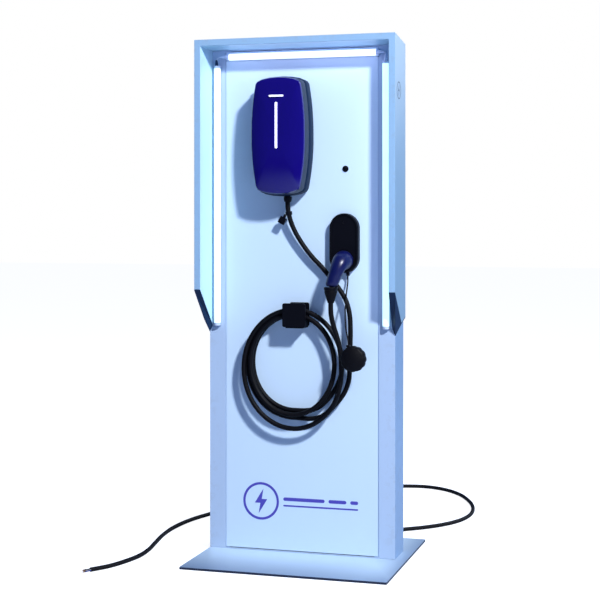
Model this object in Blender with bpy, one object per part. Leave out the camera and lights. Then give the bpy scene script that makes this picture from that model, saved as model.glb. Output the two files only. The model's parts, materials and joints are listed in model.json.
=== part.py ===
"""EV charging post: a floor-standing sheet-metal totem with a lit hood frame, a wallbox charger,
a holster with its plug-in connector, a coiled charging cable on a hook and a rear service door.

Metres, +Z up. The front faces -Y and +X is to the right as seen from the front.
Shapes are drawn in the panel frame: X = 0 at the middle of the body, Y = 0 on the front face,
Z = 0 on the floor. Everything hangs on one empty that moves the origin to the middle of the foot.
"""

import math

import bmesh
import bpy
from mathutils import Matrix, Vector

# ---------------------------------------------------------------- driving sizes
GAP = 0.0003  # between pieces that touch
POST_H = 1.800  # floor to the hood's front top edge
BODY_W = 0.674
BODY_D = 0.130
SHEET = 0.003  # folded steel of body, panel and door
STRIP_W = 0.0585  # front face of each side channel
LEDGE_W = 0.0165  # shelf behind the panel's edges
SHADOW_GAP = 0.003  # visible joint round the front panel

PLATE_T = 0.008
PLATE_LEFT = 0.0  # how far the foot plate runs past the body on each side
PLATE_RIGHT = 0.039
PLATE_FRONT = 0.304
PLATE_BACK = 0.201

HOOD_OUT = 0.022  # past the body's sides
HOOD_FRONT = 0.102  # in front of the panel
HOOD_WRAP = 0.063  # back along the body's sides
HOOD_T = 0.0225  # front edge of the frame
HOOD_LEAN = 0.010  # how much thicker a wing is at its root
HOOD_TOP_FALL = 0.127  # slope of the roof, down to the back
HOOD_UNDER_FALL = 0.060  # slope of the roof's underside
WING_FRONT_Z = 0.925  # lower end of a wing at its front edge
WING_OUTER_Z = 0.816  # and at the body's front plane, on the outer face
WING_CORNER_Z = 0.773  # the pointed tip on the body's corner
WING_INNER_Z = 0.796
WING_BACK_Z = 0.834
CAP_T = 0.003  # dark closing plate of each wing

LAMP_W = 0.024
LAMP_BASE = 0.008
LAMP_DOME = 0.013
LAMP_END = 0.010
LAMP_SIDE_X = 0.306
LAMP_SIDE_Z = (0.797, 1.717)
LAMP_TOP_X = (-0.271, 0.283)
LAMP_TOP_BELOW = 0.025  # lamp centre under the roof's underside

BOX_X = -0.052  # middle of the wallbox
BOX_Z = 1.461
BOX_H = 0.410
BOX_HALF_W = 0.100
BOX_STAND = 0.006  # wall bracket thickness
BOX_BACK_D = 0.052
BOX_COVER_D = 0.050
BOX_DOME = 0.016
BOX_WALL = 0.003
BAR_X = BOX_X
BAR_Z = 1.495
BAR_L = 0.157
BAR_W = 0.0115

CABLE_D = 0.017
CABLE_EXIT = (-0.037, -0.036)  # X and Y of the wallbox's cable gland
CABLE_SPACING = 0.040  # between the points of its route
GLAND_CLEAR = 0.0006  # between a cable and the bore of its gland
CLIP_Z = 1.189
CLIP_CLEAR = 0.0008

BUTTON_X = 0.161
BUTTON_Z = 1.3475
BUTTON_D = 0.022
BUTTON_CAP_D = 0.0140
BUTTON_BODY_D = 0.016
BUTTON_TRAVEL = 0.0035

HOLSTER_X = 0.161
HOLSTER_Z = 1.0908
HOLSTER_W = 0.1026
HOLSTER_H = 0.2057
HOLSTER_D = 0.028
SOCKET_X = 0.163
SOCKET_Z = 1.032
NOSE_D = 0.055
NOSE_L = 0.046
NOSE_CLEAR = 0.002  # round the connector's nose
SOCKET_WALL = 0.003
SOCKET_SPARE = 0.008  # behind the nose when it is home
HEAD_W = 0.068
GRIP_W = 0.045
GRIP_END = (0.1310, -0.0850, 0.9420)
COLLAR_L = 0.010
NUT_TOP_W = 0.044
NUT_END_W = 0.021
NUT_L = 0.044

HOOK_X = -0.004
HOOK_W = 0.082
HOOK_H = 0.082
HOOK_BASE_T = 0.004
HOOK_LIP_T = 0.008
HOOK_ARM_W = 0.062
HOOK_ARM_H = 0.026
HOOK_CLEAR = 0.0008  # under the coil, whose outline is faceted

COIL_INNER = (-0.0165, 0.1405, 0.6760, 0.1560)  # middle X, half width, middle Z, half height
COIL_OUTER = (-0.0120, 0.1900, 0.6540, 0.2140)
COIL_DEPTH = 0.044
COIL_BACK = 0.018  # panel to coil

LANYARD_D = 0.005
LANYARD_X = 0.1730
CAP_D = 0.088
CAP_H = 0.036
CAP_Z = 0.701
CAP_X = 0.214
CAP_Y = -0.093

SUPPLY_D = 0.015
SUPPLY_X = 0.100
SUPPLY_Z = 0.062

DOOR_W = 0.560
DOOR_Z = (0.095, 1.625)
DOOR_T = 0.004
DOOR_LAP = 0.030  # how far the door laps the frame round its opening
HINGE_R = 0.006
HINGE_L = 0.070
HINGE_Z = (0.300, 1.420)
LOCK_X = 0.215
LOCK_Z = 0.860
LOCK_D = 0.022
CAM_L = 0.048
CAM_W = 0.016

TRAY_W = 0.360  # inner mounting plate
TRAY_Z = (0.560, 0.960)
TRAY_DEEP = 0.030
RAIL_Z = 0.820
RAIL_L = 0.300
BREAKER_X = -0.075
BREAKER_W = 0.072
BREAKER_H = 0.085
BREAKER_D = 0.046
LEVER_L = 0.012

# ------------------------------------------------------------- values that follow
HALF_W = BODY_W / 2
BODY_Z0 = PLATE_T + GAP
HOOD_X = HALF_W + HOOD_OUT
PANEL_W = BODY_W - 2 * STRIP_W - 2 * SHADOW_GAP
PANEL_Z0 = BODY_Z0 + SHEET + SHADOW_GAP
LEDGE_Y = SHEET + GAP
DOOR_Y0 = BODY_D + GAP
OPEN_HALF_W = DOOR_W / 2 - DOOR_LAP
HINGE_X = -DOOR_W / 2 - HINGE_R - 0.001
HINGE_Y = DOOR_Y0 + DOOR_T + HINGE_R
FRONT_OF_PANEL = -GAP
HOLSTER_FRONT = FRONT_OF_PANEL - HOLSTER_D
SOCKET_R = NOSE_D / 2 + NOSE_CLEAR
FOOT_X = (-HALF_W - PLATE_LEFT, HALF_W + PLATE_RIGHT)
FOOT_Y = (-PLATE_FRONT, BODY_D + PLATE_BACK)
ORIGIN_X = (min(FOOT_X[0], -HOOD_X) + max(FOOT_X[1], HOOD_X)) / 2
ORIGIN_Y = (FOOT_Y[0] + FOOT_Y[1]) / 2

COLOURS = {
    "powder_white": ((0.72, 0.80, 0.90), 0.38, 0.0),
    "plate_blue_white": ((0.55, 0.66, 0.82), 0.35, 0.0),
    "dark_cap": ((0.012, 0.025, 0.075), 0.55, 0.0),
    "anodised": ((0.78, 0.82, 0.86), 0.35, 0.9),
    "diffuser": ((0.90, 0.98, 1.0), 0.4, 0.0),
    "lamp_end": ((0.75, 0.82, 0.92), 0.5, 0.0),
    "gloss_indigo": ((0.018, 0.008, 0.22), 0.12, 0.0),
    "slate": ((0.018, 0.035, 0.075), 0.45, 0.0),
    "light_bar": ((0.9, 0.93, 1.0), 0.3, 0.0),
    "zinc": ((0.62, 0.63, 0.65), 0.35, 1.0),
    "board_green": ((0.02, 0.12, 0.05), 0.5, 0.0),
    "black_plastic": ((0.012, 0.012, 0.016), 0.45, 0.0),
    "handle_blue": ((0.015, 0.022, 0.11), 0.4, 0.0),
    "grey_plastic": ((0.45, 0.47, 0.5), 0.5, 0.0),
    "rubber": ((0.010, 0.010, 0.012), 0.7, 0.0),
    "copper": ((0.72, 0.35, 0.2), 0.35, 1.0),
}


# ---------------------------------------------------------------------- helpers
def material(name):
    """The named colour as a Principled material, made once."""
    found = bpy.data.materials.get(name)
    if found:
        return found
    made = bpy.data.materials.new(name)
    made.use_nodes = True
    colour, rough, metal = COLOURS[name]
    shader = made.node_tree.nodes["Principled BSDF"]
    shader.inputs["Base Color"].default_value = (*colour, 1.0)
    shader.inputs["Roughness"].default_value = rough
    shader.inputs["Metallic"].default_value = metal
    made.diffuse_color = (*colour, 1.0)
    return made


def add(name, bm, colour, origin=(0, 0, 0), parent=None, smooth=30):
    """Makes the object of a bmesh drawn in the panel frame, with its own origin."""
    bmesh.ops.recalc_face_normals(bm, faces=bm.faces)
    bmesh.ops.translate(bm, verts=bm.verts, vec=-Vector(origin))
    mesh = bpy.data.meshes.new(name)
    bm.to_mesh(mesh)
    bm.free()
    mesh.shade_smooth()
    mesh.set_sharp_from_angle(angle=math.radians(smooth))
    mesh.materials.append(material(colour))
    obj = bpy.data.objects.new(name, mesh)
    bpy.context.scene.collection.objects.link(obj)
    obj["origin_in_panel_frame"] = tuple(origin)
    hang(obj, parent)
    return obj


def hang(obj, parent):
    """Parents an object, keeping it where it was drawn."""
    frame = bpy.data.objects["post_frame"]
    base = Vector(parent["origin_in_panel_frame"]) if parent else Vector((0, 0, 0))
    obj.parent = parent or frame
    obj.location = Vector(obj["origin_in_panel_frame"]) - base


def box(x, y, z):
    """A block between pairs of limits."""
    bm = bmesh.new()
    bmesh.ops.create_cube(bm, size=1.0)
    for v in bm.verts:
        v.co.x = x[0] if v.co.x < 0 else x[1]
        v.co.y = y[0] if v.co.y < 0 else y[1]
        v.co.z = z[0] if v.co.z < 0 else z[1]
    return bm


def loops_to_solid(loops):
    """A closed skin over rings of equal length, capped at both ends."""
    bm = bmesh.new()
    rings = [[bm.verts.new(p) for p in loop] for loop in loops]
    count = len(rings[0])
    for a, b in zip(rings, rings[1:]):
        for i in range(count):
            j = (i + 1) % count
            bm.faces.new((a[i], a[j], b[j], b[i]))
    bm.faces.new(rings[0])
    bm.faces.new(rings[-1])
    return bm


def prism(points, lo, hi, place):
    """A straight extrusion of a flat outline; place(a, b, t) gives the point in space."""
    return loops_to_solid([[place(a, b, t) for a, b in points] for t in (lo, hi)])


def along_x(a, b, t):
    return (t, a, b)


def along_y(a, b, t):
    return (a, t, b)


def along_z(a, b, t):
    return (a, b, t)


def lathe(profile, centre, axis, steps=28):
    """Turns (radius, distance along the axis) pairs into a solid; the ends lie on the axis."""
    turn = Vector((0, 0, 1)).rotation_difference(Vector(axis)).to_matrix()
    bm = bmesh.new()
    rings = []
    for r, t in profile:
        if r < 1e-9:
            rings.append([bm.verts.new(turn @ Vector((0, 0, t)) + Vector(centre))])
            continue
        ring = []
        for i in range(steps):
            a = 2 * math.pi * i / steps
            p = turn @ Vector((r * math.cos(a), r * math.sin(a), t)) + Vector(centre)
            ring.append(bm.verts.new(p))
        rings.append(ring)
    for a, b in zip(rings, rings[1:]):
        for i in range(steps):
            j = (i + 1) % steps
            if len(a) == 1:
                bm.faces.new((a[0], b[i], b[j]))
            elif len(b) == 1:
                bm.faces.new((a[i], a[j], b[0]))
            else:
                bm.faces.new((a[i], a[j], b[j], b[i]))
    return bm


def ring_lathe(profile, centre, axis, steps=28):
    """A closed ring: the profile goes once round its own section."""
    turn = Vector((0, 0, 1)).rotation_difference(Vector(axis)).to_matrix()
    bm = bmesh.new()
    rings = []
    for i in range(steps):
        a = 2 * math.pi * i / steps
        spoke = Vector((math.cos(a), math.sin(a), 0))
        rings.append(
            [
                bm.verts.new(turn @ (spoke * r + Vector((0, 0, t))) + Vector(centre))
                for r, t in profile
            ]
        )
    count = len(profile)
    for i in range(steps):
        a, b = rings[i], rings[(i + 1) % steps]
        for k in range(count):
            m = (k + 1) % count
            bm.faces.new((a[k], a[m], b[m], b[k]))
    return bm


def disc(r, length, centre, axis, steps=28):
    return lathe([(0, 0), (r, 0), (r, length), (0, length)], centre, axis, steps)


def combined(bm, other, operation):
    """The Boolean of two solids, as a new bmesh."""
    objects = []
    for part in (bm, other):
        bmesh.ops.recalc_face_normals(part, faces=part.faces)
        mesh = bpy.data.meshes.new("operand")
        part.to_mesh(mesh)
        part.free()
        obj = bpy.data.objects.new("operand", mesh)
        bpy.context.scene.collection.objects.link(obj)
        objects.append(obj)
    cut = objects[0].modifiers.new("cut", "BOOLEAN")
    cut.operation = operation
    cut.solver = "EXACT"
    cut.object = objects[1]
    graph = bpy.context.evaluated_depsgraph_get()
    result = bmesh.new()
    result.from_mesh(objects[0].evaluated_get(graph).to_mesh())
    for obj in objects:
        mesh = obj.data
        bpy.data.objects.remove(obj)
        bpy.data.meshes.remove(mesh)
    bmesh.ops.remove_doubles(result, verts=result.verts, dist=1e-6)
    bmesh.ops.dissolve_limit(
        result, angle_limit=math.radians(0.5), verts=result.verts, edges=result.edges
    )
    return result


def cut(bm, *others):
    for other in others:
        bm = combined(bm, other, "DIFFERENCE")
    return bm


def join(bm, *others):
    for other in others:
        bm = combined(bm, other, "UNION")
    return bm


def soften(bm, width, angle=50, segments=2, only=None):
    """Rounds the edges that are sharper than the angle."""
    edges = [
        e
        for e in bm.edges
        if len(e.link_faces) == 2
        and e.calc_face_angle(0) > math.radians(angle)
        and (only is None or only(e))
    ]
    bmesh.ops.bevel(
        bm, geom=edges, offset=width, segments=segments, profile=0.5, affect="EDGES"
    )
    return bm


def rounded_rectangle(w, h, r, steps=6, centre=(0, 0)):
    points = []
    for cx, cy, start in (
        (w / 2 - r, h / 2 - r, 0),
        (-w / 2 + r, h / 2 - r, 90),
        (-w / 2 + r, -h / 2 + r, 180),
        (w / 2 - r, -h / 2 + r, 270),
    ):
        for i in range(steps + 1):
            a = math.radians(start + 90 * i / steps)
            points.append(
                (centre[0] + cx + r * math.cos(a), centre[1] + cy + r * math.sin(a))
            )
    return points


def smooth_route(route, spacing):
    """Points read from a smooth curve through the route's own points (centripetal)."""
    pts = [Vector(p) for p in route]
    pts = [pts[0] * 2 - pts[1], *pts, pts[-1] * 2 - pts[-2]]
    dense = []
    for p0, p1, p2, p3 in zip(pts, pts[1:], pts[2:], pts[3:]):
        t0 = 0.0
        t1 = t0 + (p1 - p0).length ** 0.5
        t2 = t1 + (p2 - p1).length ** 0.5
        t3 = t2 + (p3 - p2).length ** 0.5
        for i in range(40):
            t = t1 + (t2 - t1) * i / 40
            a1 = p0 * ((t1 - t) / (t1 - t0)) + p1 * ((t - t0) / (t1 - t0))
            a2 = p1 * ((t2 - t) / (t2 - t1)) + p2 * ((t - t1) / (t2 - t1))
            a3 = p2 * ((t3 - t) / (t3 - t2)) + p3 * ((t - t2) / (t3 - t2))
            b1 = a1 * ((t2 - t) / (t2 - t0)) + a2 * ((t - t0) / (t2 - t0))
            b2 = a2 * ((t3 - t) / (t3 - t1)) + a3 * ((t - t1) / (t3 - t1))
            dense.append(b1 * ((t2 - t) / (t2 - t1)) + b2 * ((t - t1) / (t2 - t1)))
    dense.append(pts[-2])
    total = sum((b - a).length for a, b in zip(dense, dense[1:]))
    count = max(2, round(total / spacing))
    step = total / count
    kept = [dense[0]]
    walked = 0.0
    for a, b in zip(dense, dense[1:]):
        length = (b - a).length
        while walked + length >= step * len(kept) - 1e-9 and len(kept) < count:
            kept.append(a.lerp(b, (step * len(kept) - walked) / length))
        walked += length
    kept.append(dense[-1])
    return kept


def tube(name, points, diameter, colour="rubber", sides=3):
    """A round cord as a curve with a bevel, through the points."""
    curve = bpy.data.curves.new(name, "CURVE")
    curve.dimensions = "3D"
    curve.bevel_depth = diameter / 2
    curve.bevel_resolution = sides
    curve.use_fill_caps = True
    spline = curve.splines.new("POLY")
    spline.points.add(len(points) - 1)
    for point, at in zip(spline.points, points):
        point.co = (*at, 1.0)
    curve.materials.append(material(colour))
    obj = bpy.data.objects.new(name, curve)
    bpy.context.scene.collection.objects.link(obj)
    obj["origin_in_panel_frame"] = (0.0, 0.0, 0.0)
    hang(obj, None)
    return obj


# ------------------------------------------------------------------ foot and body
def under_roof(y):
    """Height of the hood's underside at a depth."""
    return POST_H - HOOD_T - HOOD_UNDER_FALL * (y + HOOD_FRONT)


def body_top(y):
    return under_roof(y) - GAP


def screw_places():
    across = HALF_W - SHEET - 0.040
    deep = (0.035, BODY_D - 0.030)
    return [(x, y) for x in (-across, across) for y in deep]


def foot_plate():
    bm = box(FOOT_X, FOOT_Y, (0, PLATE_T))
    upright = lambda e: abs(e.verts[0].co.z - e.verts[1].co.z) > PLATE_T / 2
    soften(bm, 0.004, only=upright)
    top = lambda e: min(v.co.z for v in e.verts) > PLATE_T / 2
    soften(bm, 0.001, angle=60, segments=1, only=top)
    for x, y in screw_places():
        bm = cut(bm, disc(0.0052, PLATE_T + 0.002, (x, y, -0.001), (0, 0, 1), 16))
    add("base_plate", bm, "plate_blue_white")


def foot_screws():
    """Four hex screws hold the body's floor to the foot plate, from inside."""
    z = BODY_Z0 + SHEET + GAP
    deep = z - 0.001
    for i, (x, y) in enumerate(screw_places()):
        bm = disc(0.009, 0.0065, (x, y, z), (0, 0, 1), 6)
        bm = join(bm, disc(0.0047, deep + 0.001, (x, y, z + 0.001), (0, 0, -1), 16))
        add(f"base_screw_{i + 1}", bm, "zinc", origin=(x, y, z))


def hollow():
    """The body's inside and its open front, up to the sloping roof sheet, as one solid."""
    inner = HALF_W - STRIP_W
    fold = inner + SHEET
    wall = HALF_W - SHEET
    window = inner - LEDGE_W
    ledge_back = LEDGE_Y + SHEET
    right = [
        (inner, -0.010),
        (inner, LEDGE_Y),
        (window, LEDGE_Y),
        (window, ledge_back),
        (fold, ledge_back),
        (fold, SHEET),
        (wall, SHEET),
        (wall, BODY_D - SHEET),
    ]
    plan = right + [(-x, y) for x, y in reversed(right)]
    low = [(x, y, BODY_Z0 + SHEET) for x, y in plan]
    high = [(x, y, body_top(y) - SHEET) for x, y in plan]
    return loops_to_solid([low, high])


def body():
    """Folded shell: front strips that step back to a ledge, sides, floor, roof, rear frame."""
    ends = [(0, BODY_Z0), (BODY_D, BODY_Z0), (BODY_D, body_top(BODY_D)), (0, body_top(0))]
    bm = cut(prism(ends, -HALF_W, HALF_W, along_x), hollow())
    opening = (DOOR_Z[0] + DOOR_LAP, DOOR_Z[1] - DOOR_LAP)
    behind = (BODY_D - SHEET - 0.001, BODY_D + 0.010)
    bm = cut(bm, box((-OPEN_HALF_W, OPEN_HALF_W), behind, opening))
    for x, y in screw_places():
        bm = cut(bm, disc(0.0052, 0.01, (x, y, BODY_Z0 - 0.003), (0, 0, 1), 16))
    hole = disc(0.0125, 0.02, (SUPPLY_X, BODY_D - 0.012, SUPPLY_Z), (0, 1, 0), 24)
    add("body_shell", cut(bm, hole), "powder_white")


def panel():
    """The front panel is a flat sheet on the ledges, flush with the two strips."""
    half = PANEL_W / 2
    top = body_top(0) - SHEET - SHADOW_GAP
    bm = box((-half, half), (0, SHEET), (PANEL_Z0, top))
    face = -0.01
    button = disc(
        BUTTON_BODY_D / 2 + 0.0003, 0.03, (BUTTON_X, face, BUTTON_Z), (0, 1, 0), 24
    )
    socket = disc(
        SOCKET_R + SOCKET_WALL + 0.001, 0.03, (SOCKET_X, face, SOCKET_Z), (0, 1, 0), 32
    )
    feed = disc(0.014, 0.03, (BOX_X, face, BOX_Z - 0.05), (0, 1, 0), 24)
    add("front_panel", cut(bm, button, socket, feed), "powder_white")


# ------------------------------------------------------------------------- hood
def wing_plan():
    """Outline of the right wing from above, with the height of its lower end at each corner."""
    inner = HOOD_X - HOOD_T
    root = inner - HOOD_LEAN
    side = HALF_W + GAP
    return [
        (HOOD_X, -HOOD_FRONT, WING_FRONT_Z),
        (HOOD_X, 0.0, WING_OUTER_Z),
        (HOOD_X, HOOD_WRAP, WING_BACK_Z),
        (side, HOOD_WRAP, WING_BACK_Z - 0.020),
        (side, -GAP, WING_CORNER_Z),
        (root, -GAP, WING_INNER_Z),
        (inner, -HOOD_FRONT, WING_FRONT_Z),
    ]


def wing(side, low, high):
    """A stretch of a wing between two heights above its slanted lower end."""
    bottom = [(side * x, y, z + low) for x, y, z in wing_plan()]
    if high is None:
        top = [(side * x, y, under_roof(y) + 0.006) for x, y, z in wing_plan()]
    else:
        top = [(side * x, y, z + high) for x, y, z in wing_plan()]
    bm = bmesh.new()
    low_ring = [bm.verts.new(p) for p in bottom]
    high_ring = [bm.verts.new(p) for p in top]
    for i in range(len(bottom)):
        j = (i + 1) % len(bottom)
        bm.faces.new((low_ring[i], low_ring[j], high_ring[j], high_ring[i]))
    for ring in (low_ring, high_ring):
        for three in ((0, 1, 4), (0, 4, 5), (0, 5, 6), (1, 2, 3), (1, 3, 4)):
            bm.faces.new([ring[i] for i in three])
    return bm


def hood():
    front, back = -HOOD_FRONT, HOOD_WRAP
    fall = HOOD_TOP_FALL * (back - front)
    roof = [
        (front, POST_H),
        (back, POST_H - fall),
        (back, under_roof(back)),
        (front, under_roof(front)),
    ]
    bm = prism(roof, -HOOD_X, HOOD_X, along_x)
    bm = join(bm, wing(1, CAP_T + GAP, None), wing(-1, CAP_T + GAP, None))
    add("hood_frame", bm, "powder_white", smooth=20)
    for side, name in ((1, "right"), (-1, "left")):
        add(f"wing_end_{name}", wing(side, 0, CAP_T), "dark_cap", smooth=20)


def lamp_section(grow=0.0):
    """Half-round light cover seen from its end: across, away from the panel."""
    base = -GAP - LAMP_BASE - GAP
    half = LAMP_W / 2 + grow
    points = [(-half, base + grow)]
    for i in range(1, 10):
        a = math.pi * i / 10
        points.append((-half * math.cos(a), base - (LAMP_DOME + grow) * math.sin(a)))
    points.append((half, base + grow))
    return points


def lamp(name, centre, length, upright):
    """A linear lamp: aluminium base, glowing cover and two end pieces."""
    place = (lambda a, b, t: (centre[0] + a, b, centre[1] + t)) if upright else (
        lambda a, b, t: (centre[0] + t, b, centre[1] - a)
    )
    half = length / 2
    block = [(-LAMP_W / 2, -GAP), (LAMP_W / 2, -GAP)]
    block += [(LAMP_W / 2, -GAP - LAMP_BASE), (-LAMP_W / 2, -GAP - LAMP_BASE)]
    bm = prism(block, -half, half, place)
    add(f"led_base_{name}", bm, "anodised")
    lit = half - LAMP_END - GAP
    add(f"led_cover_{name}", prism(lamp_section(), -lit, lit, place), "diffuser")
    for sign, end in ((-1, "a"), (1, "b")):
        lo, hi = sorted((sign * (half - LAMP_END), sign * half))
        bm = prism(lamp_section(), lo, hi, place)
        add(f"led_end_{name}_{end}", bm, "lamp_end")


def lamps():
    low, high = LAMP_SIDE_Z
    middle = (low + high) / 2
    for side, name in ((-1, "left"), (1, "right")):
        lamp(name, (side * LAMP_SIDE_X, middle), high - low, True)
    left, right = LAMP_TOP_X
    z = under_roof(0) - LAMP_TOP_BELOW
    lamp("top", ((left + right) / 2, z), right - left, False)


# --------------------------------------------------------------------- wallbox
def barrel_outline(grow=0.0, scale=1.0, steps=14):
    """The wallbox's outline: widest a little above the middle, arched top and bottom."""
    half_h = BOX_H / 2 + grow
    corner_z = half_h - 0.024
    sides = []
    for i in range(steps + 1):
        u = -1 + 2 * i / steps
        bulge = 1 - 0.20 * max(0.0, -u - 0.06) ** 2 - 0.17 * max(0.0, u - 0.06) ** 2
        sides.append(((BOX_HALF_W + grow) * bulge, u * corner_z))
    arch = []
    top_half = sides[-1][0]
    for i in range(1, 8):
        a = math.pi * i / 8
        arch.append(
            (top_half * math.cos(a), corner_z + (half_h - corner_z) * math.sin(a))
        )
    under = []
    low_half = sides[0][0]
    for i in range(1, 8):
        a = math.pi * i / 8
        under.append((-low_half * math.cos(a), -corner_z - (half_h - corner_z) * math.sin(a)))
    right = sides
    left = [(-x, z) for x, z in reversed(sides)]
    ring = right + arch + left + under
    return [(BOX_X + x * scale, BOX_Z + z * scale) for x, z in ring]


def barrel(stations):
    """A solid over outlines at (Y, grow, scale) stations."""
    return loops_to_solid(
        [[(x, y, z) for x, z in barrel_outline(g, s)] for y, g, s in stations]
    )


def gland_cut(length, up, r):
    x, y = CABLE_EXIT
    return disc(r, length, (x, y, BOX_Z - BOX_H / 2 - length + up), (0, 0, 1), 24)


def wallbox():
    back = FRONT_OF_PANEL - BOX_STAND - GAP
    seam = back - BOX_BACK_D
    front = seam - GAP - BOX_COVER_D
    shell = barrel(
        [
            (back, -0.006, 1.0),
            (back - 0.006, 0.002, 1.0),
            (seam + 0.010, 0.003, 1.0),
            (seam, 0.000, 1.0),
        ]
    )
    room = barrel(
        [(back - BOX_WALL, -0.010, 1.0), (seam - 0.01, -0.004, 1.0)]
    )
    feed = disc(0.014, 0.02, (BOX_X, back - 0.01, BOX_Z - 0.05), (0, 1, 0), 24)
    shell = cut(shell, room, feed, gland_cut(0.05, 0.03, 0.0105))
    add("wallbox_back_shell", shell, "slate", smooth=35)

    first = seam - GAP
    dome = [
        (first, -0.001, 1.0),
        (first - 0.020, -0.0015, 1.0),
        (front + 0.008, -0.0035, 1.0),
        (front + 0.001, -0.0065, 1.0),
    ]
    dome += [
        (front - BOX_DOME * (1 - s**3), -0.0065, s)
        for s in (0.93, 0.82, 0.68, 0.50, 0.30, 0.12)
    ]
    cover = barrel(dome)
    inside = barrel(
        [
            (first + 0.01, -0.005, 1.0),
            (front + 0.012, -0.008, 1.0),
            (front + 0.004, -0.013, 0.97),
        ]
    )
    face = front - BOX_DOME
    slot = bar_solid(GAP, face - 0.01, face + 0.0045)
    cover = cut(cover, inside, slot)
    add("wallbox_cover", cover, "gloss_indigo", smooth=40)
    add(
        "wallbox_light_bar",
        bar_solid(0, face - 0.0004, face + 0.0042),
        "light_bar",
    )
    plate = box(
        (BOX_X - 0.06, BOX_X + 0.06),
        (FRONT_OF_PANEL - BOX_STAND, FRONT_OF_PANEL),
        (BOX_Z - 0.13, BOX_Z + 0.13),
    )
    hole = disc(0.014, 0.02, (BOX_X, FRONT_OF_PANEL - 0.012, BOX_Z - 0.05), (0, 1, 0), 24)
    add("wallbox_bracket", cut(plate, hole), "zinc")
    wallbox_inside(back - BOX_WALL - GAP)


def bar_solid(grow, y0, y1):
    """The light bar, or its slot: a long block with half-round ends."""
    w = BAR_W / 2 + grow
    half = BAR_L / 2 - BAR_W / 2
    points = []
    for i in range(9):
        a = math.pi * i / 8
        points.append((BAR_X + w * math.cos(a), BAR_Z + half + w * math.sin(a)))
    for i in range(9):
        a = math.pi + math.pi * i / 8
        points.append((BAR_X + w * math.cos(a), BAR_Z - half + w * math.sin(a)))
    return prism(points, y0, y1, along_y)


def wallbox_inside(floor):
    """Circuit board, relay and terminals on the wallbox's back wall."""
    board = box(
        (BOX_X - 0.062, BOX_X + 0.062), (floor - 0.0085, floor), (BOX_Z + 0.005, BOX_Z + 0.150)
    )
    add("wallbox_board", board, "board_green")
    top = floor - 0.0085 - GAP
    relay = box((BOX_X - 0.045, BOX_X + 0.01), (top - 0.030, top), (BOX_Z + 0.06, BOX_Z + 0.13))
    add("wallbox_relay", soften(relay, 0.002, segments=1), "black_plastic")
    block = box((BOX_X + 0.020, BOX_X + 0.072), (floor - 0.028, floor), (BOX_Z - 0.11, BOX_Z - 0.08))
    add("wallbox_terminals", block, "grey_plastic")


def output_gland():
    """Cable gland under the wallbox: a nut outside, a sleeve through the shell's floor."""
    x, y = CABLE_EXIT
    wall = BOX_Z - BOX_H / 2 - 0.003 - GAP
    bore = CABLE_D / 2 + GLAND_CLEAR
    profile = [
        (bore, 0.012),
        (0.0100, 0.012),
        (0.0100, 0.0),
        (0.0142, 0.0),
        (0.0142, -0.010),
        (0.0120, -0.018),
        (bore, -0.020),
    ]
    bm = ring_lathe(profile, (x, y, wall), (0, 0, 1), 24)
    add("output_gland", bm, "black_plastic")


# ----------------------------------------------------------------------- button
def button():
    """Push button: bezel on the panel, switch body through it, cap with a stem."""
    x, z = BUTTON_X, BUTTON_Z
    face = FRONT_OF_PANEL
    cap_r = BUTTON_CAP_D / 2
    well = cap_r + GAP
    proud = 0.0024
    bezel = [(well, 0), (BUTTON_D / 2, 0), (BUTTON_D / 2, proud - 0.0008)]
    bezel += [(BUTTON_D / 2 - 0.0012, proud), (well, proud)]
    add("button_bezel", ring_lathe(bezel, (x, face, z), (0, -1, 0)), "black_plastic")
    stem_r = 0.003
    cap_back = 0.0045
    stem_end = cap_back + 0.008
    cap = [(0, -stem_end), (stem_r, -stem_end), (stem_r, -cap_back), (cap_r, -cap_back)]
    cap += [(cap_r, proud + 0.0006), (cap_r - 0.0008, proud + 0.0014), (0, proud + 0.0018)]
    bm = lathe(cap, (x, face, z), (0, -1, 0))
    add("button_cap", bm, "black_plastic", origin=(x, face, z))
    floor = cap_back + BUTTON_TRAVEL + 0.002
    bottom = stem_end + BUTTON_TRAVEL + 0.002
    r = BUTTON_BODY_D / 2
    switch = [(0, bottom), (stem_r + GAP, bottom), (stem_r + GAP, floor), (well, floor)]
    switch += [(well, GAP), (r, GAP), (r, bottom + 0.012), (0, bottom + 0.012)]
    add("button_switch", lathe(switch, (x, face, z), (0, 1, 0)), "grey_plastic")


# -------------------------------------------------------------- holster, connector
def stadium(w, h, centre, steps=12):
    return rounded_rectangle(w, h, w / 2 - 1e-5, steps, centre)


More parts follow.
